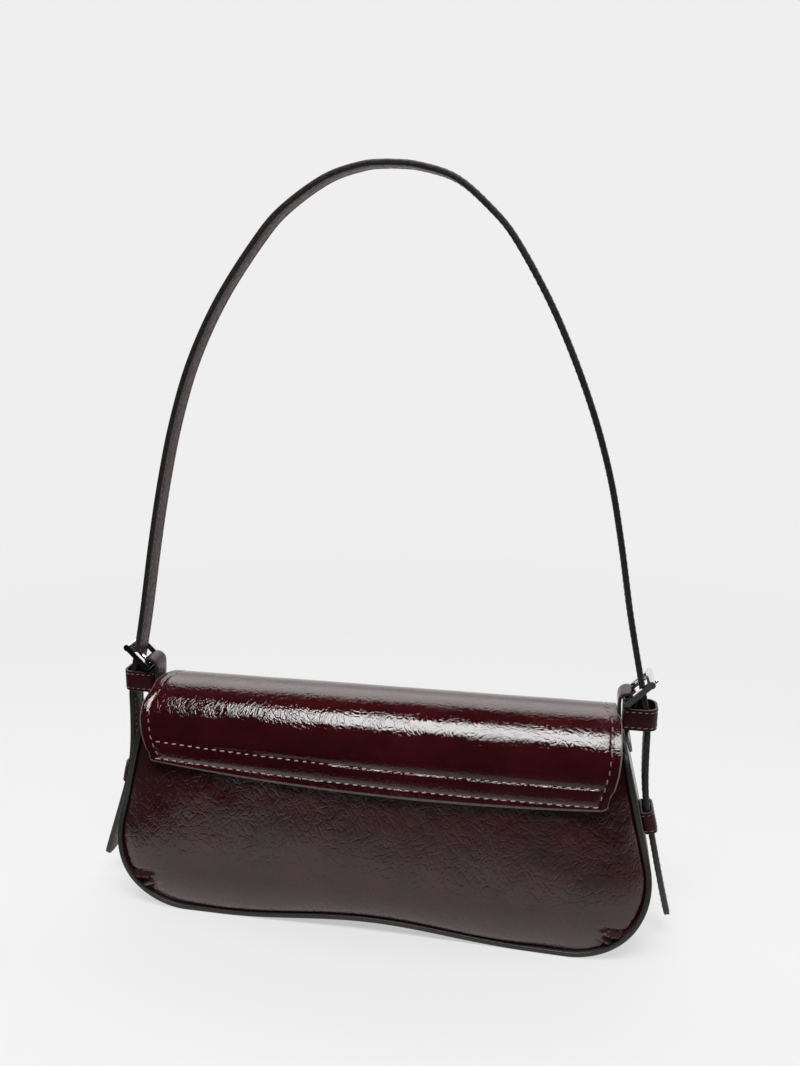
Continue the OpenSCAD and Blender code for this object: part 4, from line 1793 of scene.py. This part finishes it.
@dataclass(frozen=True)
class TabSize:
    """The tabs' and keepers' sizes in millimetres.

    Attributes:
        thick: How far apart the tab's two layers lie.
        inner: The inner layer's distance from the bag's middle.
        loop_r: The loop's radius round the heel bar.
        heel: The heel bar's x and z.
        swing_z: The height at which strap and tab bend when the strap swings.
        keeper_z: The upper keeper's lower edge in the solids.
        keeper_h: Its height in the solids.
        keeper_t: Every keeper's thickness.
        low_keeper_z: The lower keeper's middle.
        leather_upper: The dressed upper keeper's middle and height.
        leather_lower: The dressed lower keeper's height.
    """

    width: float = 12.5
    thick: float = 2.2
    inner: float = 121.9
    loop_r: float = 3.9
    heel: tuple = (125.0, 130.0)
    swing_z: float = 113.0
    keeper_z: float = 116.0
    keeper_h: float = 9.0
    keeper_t: float = 1.2
    low_keeper_z: float = 65.5
    leather_upper: tuple = (121.2, 11.2)
    leather_lower: float = 11.8

    def rise(self, shape: BodyShape, leather: float) -> np.ndarray:
        """The tab's inner layer, from the loop down to the end strip.

        Args:
            shape: The body's form.
            leather: The strip's thickness.

        Returns:
            Rows of x and z on the right.
        """
        low = self.swing_z - self.width / 2
        mouth = shape.size.mouth_z - 1.0
        return np.array([
            [self.inner - 0.5, self.heel[1] - 5.0],
            [self.inner - 0.4, self.keeper_z + self.keeper_h * 0.6],
            [self.inner + 0.6, self.swing_z + 0.5],
            [float(shape.side_x(low)) - leather / 2, low - 0.5],
            [float(shape.side_x(mouth)) - leather / 2, mouth],
        ])

    def fold(self, shape: BodyShape, leather: float) -> np.ndarray:
        """The tab's outer layer and its loop round the heel bar, from its sewn end.

        Args:
            shape: The body's form.
            leather: The strip's thickness.

        Returns:
            Rows of x and z on the right.
        """
        low = self.swing_z - self.width / 2 - 0.5
        turn = np.radians(np.linspace(0.0, 180.0, 15))
        loop = np.array(self.heel) + self.loop_r * np.stack([np.cos(turn), np.sin(turn)], axis=1)
        down = np.array([
            [float(shape.side_x(low)) - leather / 2 + self.thick, low],
            [self.inner + 0.6 + self.thick, self.swing_z - 0.5],
            [self.inner + self.thick + 2.4, self.keeper_z],
            [self.heel[0] + self.loop_r - 0.6, self.heel[1] - 4.0],
        ])
        return np.vstack([down, loop, [[self.inner - 0.7, self.heel[1] - 2.5]]])


@dataclass(frozen=True)
class StrapSize:
    """The strap's sizes in millimetres.

    Attributes:
        width: The strap's width.
        thick: Its thickness.
        row: Each stitch row's distance from the edge.
        out: Its middle's distance from the bag's middle at the upper keeper.
        tail: The tails' tips as x and z, before they lean.
        tail_lean: How much farther out the left tip is, and the right one in.
        keeper_room: The room that the upper keeper leaves outside the strap.
        stand: How far the strap stands off the bag below the buckles, left and right.
        left: Points of the arch on the left, outward and up, as in the photograph.
        right: Points of the arch on the right.
    """

    width: float = 12.5
    thick: float = 2.8
    row: float = 1.9
    out: float = 134.9
    tail: tuple = (154.4, 14.0)
    tail_lean: float = 2.9
    keeper_room: float = 2.4
    stand: tuple = (1.5, 0.3)
    left: tuple = (
        (-4.5, 381.4), (8.0, 380.6), (25.6, 375.2), (45.7, 362.2), (58.9, 348.5), (79.0, 320.8),
        (94.5, 291.5), (105.3, 261.4), (113.4, 230.3), (120.2, 198.1), (126.3, 164.9),
    )
    right: tuple = (
        (4.5, 381.4), (18.0, 380.0), (35.6, 374.2), (51.6, 361.0), (63.1, 347.6), (79.0, 321.0),
        (91.8, 294.1), (102.6, 266.6), (111.1, 238.5), (117.3, 209.7), (122.6, 180.0),
    )


@dataclass(frozen=True)
class Keeper:
    """One keeper.

    Attributes:
        name: The piece's name.
        node: The CAD node that it stands for.
        part: The body that it rides on.
        hand: -1 on the left and 1 on the right.
        plane: Takes points in the ring's plane and a height over it to the record's frame.
        span: The ring's inner and outer side in its plane.
        tall: The keeper's height.
    """

    name: str
    node: str
    part: Part
    hand: float
    plane: Callable
    span: tuple
    tall: float


class Strap:
    """The strap from tail to tail, its keepers and its buckles.

    Attributes:
        TIP_R: The radius of the tails' rounded tips.
        KEEPER_ROW: The keepers' stitch rows' distance from the edge.
        PLAY: The room between a keeper and the strap.
    """

    TIP_R = 3.0
    KEEPER_ROW = 1.6
    PLAY = 0.3

    def __init__(self, size: StrapSize, tab: TabSize, shape: BodyShape) -> None:
        """Keeps the sizes.

        Args:
            size: The strap's sizes.
            tab: The tabs' and keepers' sizes.
            shape: The body's form.
        """
        self.size = size
        self.tab = tab
        self.shape = shape

    def half_line(self, hand: float) -> np.ndarray:
        """One half's centre line, from the top to the tail's end, in the XZ plane.

        Args:
            hand: -1 on the left and 1 on the right.

        Returns:
            The points, with x counted outward.
        """
        s, t = self.size, self.tab
        arch = through(np.array(s.left if hand < 0 else s.right), 20)
        end, way = arch[-1], unit(arch[-1] - arch[-2])
        stand = s.stand[0] if hand < 0 else s.stand[1]
        keeper = np.array([s.out + 0.3 * stand, t.keeper_z + t.keeper_h / 2])
        run = bezier(end, end + way * 16, keeper + [-3.6, 18], keeper)
        split = np.array([s.out + 0.4 + 0.6 * stand, t.swing_z])
        off = 0.05 + t.keeper_t + self.PLAY + s.thick / 2 + stand
        out = np.array([math.cos(self.shape.facing), math.sin(self.shape.facing)])
        low = np.array([float(self.shape.side_x(t.low_keeper_z)), t.low_keeper_z]) + off * out
        upper = bezier(split, split + [0.2, -18], low - self.shape.way * 14, low)
        tip = np.array([s.tail[0] - hand * s.tail_lean, s.tail[1]])
        tail = bezier(low, low + self.shape.way * 10, tip + [-3, 10], tip)
        return np.vstack([arch, run[1:], [split], upper[1:], tail[1:]])

    def leather(self) -> None:
        """Builds the strap and its stitch rows, two on each face."""
        s = self.size
        left = self.half_line(-1.0) * np.array([-1.0, 1.0])
        line = evenly(np.vstack([left[::-1], self.half_line(1.0)[1:]]), 1.5)
        path, normal, side = ribbon(line, 1.0)
        run = lengths(line)
        to_end = np.minimum(run, run[-1] - run)
        tip = 1 - np.minimum(to_end, self.TIP_R) / self.TIP_R
        half = s.width / 2 - 1.6 * (1 - np.sqrt(np.clip(1 - tip ** 2, 0.0, 1.0)))
        profile = Profile.strip(s.thick, 0.55, (s.row,), 0.18, 0.12)
        made = sweep("strap_leather", path, normal, side, half, profile, [STRAP_PATENT, EDGE_PAINT])
        bend(made, Part.STRAP, Slot.STRAP, "strap_arch", "strap_tail_left", "strap_tail_right")
        keep = to_end > self.TIP_R
        rows = []
        for hand in (-1.0, 1.0):
            for face in (-1.0, 1.0):
                pts = path + side * hand * (s.width / 2 - s.row) + normal * face * (s.thick / 2 - 0.14)
                rows.append(StitchRow(pts[keep], (normal * face)[keep]))
        sewn = stitches("strap_stitches", rows, Seam(3.6, 2.5, 0.27, 0.12), STRAP_THREAD)
        bend(sewn, Part.STRAP, Slot.STRAP)

    def ring(self, span: tuple) -> tuple:
        """A keeper's ring in its own plane, with round outer corners and tight inner ones.

        Args:
            span: Its inner and outer side.

        Returns:
            Points and outward normals, in the plane.
        """
        t = self.tab
        half = self.size.width / 2 + self.PLAY + t.keeper_t / 2
        x0, x1 = span[0] + t.keeper_t / 2, span[1] - t.keeper_t / 2
        far, near = min(4.6, (x1 - x0) * 0.46), 0.8
        corners = ((x1 - far, 1, far), (x0 + near, 1, near), (x0 + near, -1, near), (x1 - far, -1, far))
        points, normals = [], []
        for turn, (cx, way, r) in enumerate(corners):
            for k in range(10):
                a = math.radians(90.0 * turn + 10.0 * k)
                points.append((cx + r * math.cos(a), way * (half - r) + r * math.sin(a)))
                normals.append((math.cos(a), math.sin(a)))
        return np.array(points), np.array(normals)

    def keeper(self, plan: Keeper) -> None:
        """Builds one keeper with its two rows of stitches.

        Args:
            plan: Which keeper, and where.
        """
        thick = self.tab.keeper_t
        flat, out = self.ring(plan.span)
        flip = np.array([plan.hand, 1.0, 1.0])
        path = plan.plane(flat[:, 0], flat[:, 1], 0.0) * flip
        origin = plan.plane(np.zeros(1), np.zeros(1), 0.0)[0]
        normal = (plan.plane(out[:, 0], out[:, 1], 0.0) - origin) * flip
        side = unit((plan.plane(np.zeros(1), np.zeros(1), 1.0)[0] - origin) * flip)
        sides = np.tile(side, (len(path), 1))
        half = np.full(len(path), plan.tall / 2)
        profile = Profile.strip(thick, 0.3, (self.KEEPER_ROW,), 0.12, 0.05)
        made = sweep(plan.name, path, normal, sides, half, profile, [STRAP_PATENT, EDGE_PAINT], True)
        offer(made, plan.part, Slot.STRAP, plan.node)
        rows = []
        for way in (-1.0, 1.0):
            line = path + sides * way * (plan.tall / 2 - self.KEEPER_ROW) + normal * (thick / 2 - 0.02)
            rows.append(StitchRow(np.vstack([line, line[:1]]), np.vstack([normal, normal[:1]])))
        sewn = stitches(f"{plan.name}_stitches", rows, Seam(3.0, 2.0, 0.22, 0.1), STRAP_THREAD)
        offer(sewn, plan.part, Slot.STRAP)

    def upper(self, x: np.ndarray, y: np.ndarray, z: float) -> np.ndarray:
        """The upper keeper's plane: level, at mid height."""
        return np.stack([x, y, np.full_like(x, self.tab.leather_upper[0] + z)], axis=-1)

    def lower(self, x: np.ndarray, y: np.ndarray, z: float) -> np.ndarray:
        """The lower keeper's plane, square to the bag's side.

        Args:
            x: The distance out from the side.
            y: The distance along the keeper's width.
            z: The height over the plane.

        Returns:
            The points.
        """
        low = self.tab.low_keeper_z
        c, s = math.cos(self.shape.facing), math.sin(self.shape.facing)
        return np.stack([float(self.shape.side_x(low)) + x * c - z * s, y, low + x * s + z * c], axis=-1)

    def keepers(self) -> None:
        """Builds the four keepers."""
        s, t = self.size, self.tab
        inner, outer = t.inner + t.thick / 2 + 0.35, s.out + s.thick / 2 + s.keeper_room + t.keeper_t
        for hand, end, stand in ((-1.0, "left", s.stand[0]), (1.0, "right", s.stand[1])):
            name, node = f"upper_keeper_{end}", f"keeper_upper_{end}"
            self.keeper(Keeper(name, node, Part.STRAP, hand, self.upper, (inner, outer), t.leather_upper[1]))
            reach = 0.05 + 2 * (t.keeper_t + self.PLAY) + s.thick + 0.4 + stand
            name, node = f"lower_keeper_{end}", f"keeper_lower_{end}"
            self.keeper(Keeper(name, node, Part.BAG, hand, self.lower, (0.05, reach), t.leather_lower))

    def build(self) -> None:
        """Builds every piece of the strap."""
        self.leather()
        self.keepers()
        for end in ("left", "right"):
            dress(f"buckle_{end}", CHROME, 40.0, 0.35)
            dress(f"prong_{end}", CHROME, 40.0, 0.15)


# The studio


@dataclass(frozen=True)
class View:
    """The photograph's camera, fitted to the bag's outline, seams and buckles: metres, degrees and pixels."""

    place: tuple = (0.0912, -0.4528, 0.3162)
    azimuth: float = 10.17
    elevation: float = 13.23
    roll: float = 0.32
    focal_px: float = 948.66
    height_px: float = 1066.0
    sensor_mm: float = 36.0

    def build(self) -> None:
        """Makes the camera."""
        az, el, roll = (math.radians(a) for a in (self.azimuth, self.elevation, self.roll))
        away = Vector((math.sin(az) * math.cos(el), -math.cos(az) * math.cos(el), math.sin(el)))
        right = Vector((math.cos(az), math.sin(az), 0.0))
        up = right.cross(-away)
        side = right * math.cos(roll) + up * math.sin(roll)
        top = up * math.cos(roll) - right * math.sin(roll)
        data = bpy.data.cameras.new("camera")
        data.sensor_width = self.sensor_mm
        data.lens = self.focal_px / self.height_px * self.sensor_mm
        data.clip_start, data.clip_end = 0.01, 30.0
        camera = bpy.data.objects.new("camera", data)
        turned = Matrix((side, top, away)).transposed().to_4x4()
        camera.matrix_world = Matrix.Translation(self.place) @ turned
        bpy.context.scene.collection.objects.link(camera)
        bpy.context.scene.camera = camera


@dataclass(frozen=True)
class Softbox:
    """One soft light: its place, what it aims at and its size in metres, and its power in watts."""

    name: str
    place: tuple
    aim: tuple
    size: tuple
    power: float

    def build(self) -> None:
        """Makes the light."""
        data = bpy.data.lights.new(self.name, "AREA")
        data.shape, data.size, data.size_y = "RECTANGLE", *self.size
        data.energy = self.power
        lamp = bpy.data.objects.new(self.name, data)
        lamp.location = self.place
        lamp.rotation_mode = "QUATERNION"
        lamp.rotation_quaternion = (Vector(self.place) - Vector(self.aim)).to_track_quat("Z", "Y")
        bpy.context.scene.collection.objects.link(lamp)


class Studio:
    """Floor, world and light.

    Attributes:
        BACKDROP: The brightness of the wall behind the bag.
        CEILING: The brightness over that wall.
        ROOM: The brightness in front of the bag.
        FLOOR_HALF: Half the floor's side, in metres.
        LIGHT: The softbox over the bag's front, which the flap's roll mirrors.
    """

    BACKDROP = 0.863
    CEILING = 2.3
    ROOM = 0.02
    FLOOR_HALF = 1.0
    LIGHT = Softbox("strip", (0.04, -0.50, 1.10), (0.04, -0.50, 0.0), (0.86, 0.50), 13.4)

    def floor(self) -> None:
        """Makes the floor."""
        mesh = bpy.data.meshes.new("floor")
        half = self.FLOOR_HALF
        corners = [(-half, -half, 0.0), (half, -half, 0.0), (half, half, 0.0), (-half, half, 0.0)]
        mesh.from_pydata(corners, [], [(0, 1, 2, 3)])
        mesh.materials.append(FLOOR.material())
        made = bpy.data.objects.new("floor", mesh)
        bpy.context.scene.collection.objects.link(made)

    def world(self) -> None:
        """Makes a pale backdrop, a bright ceiling behind the bag and a dark room in front of it."""
        world = bpy.data.worlds.new("studio")
        world.use_nodes = True
        bpy.context.scene.world = world
        tree = Tree(world.node_tree)
        way = tree.node("ShaderNodeTexCoord", {}, {}, "Generated")
        behind = tree.along(way, (0.0, 1.0, -0.4)).ramp(0.0, 0.16)
        wall = tree.axis(way, "Z").ramp(0.36, 0.62, self.BACKDROP, self.CEILING)
        level = self.ROOM + (wall - self.ROOM) * behind
        tree.fill(world.node_tree.nodes["Background"], {"Color": tree.grey(level)})

    def build(self) -> None:
        """Builds the studio."""
        self.floor()
        self.world()
        self.LIGHT.build()
        settings = bpy.context.scene.view_settings
        settings.view_transform, settings.look = "Standard", "None"


def main() -> None:
    """Builds the whole scene."""
    tab = TabSize()
    body = Body(BodySize(), tab)
    View().build()
    body.build()
    Flap(FlapSize(), body.shape).build()
    Strap(StrapSize(), tab, body.shape).build()
    Studio().build()


if __name__ == "__main__":
    main()
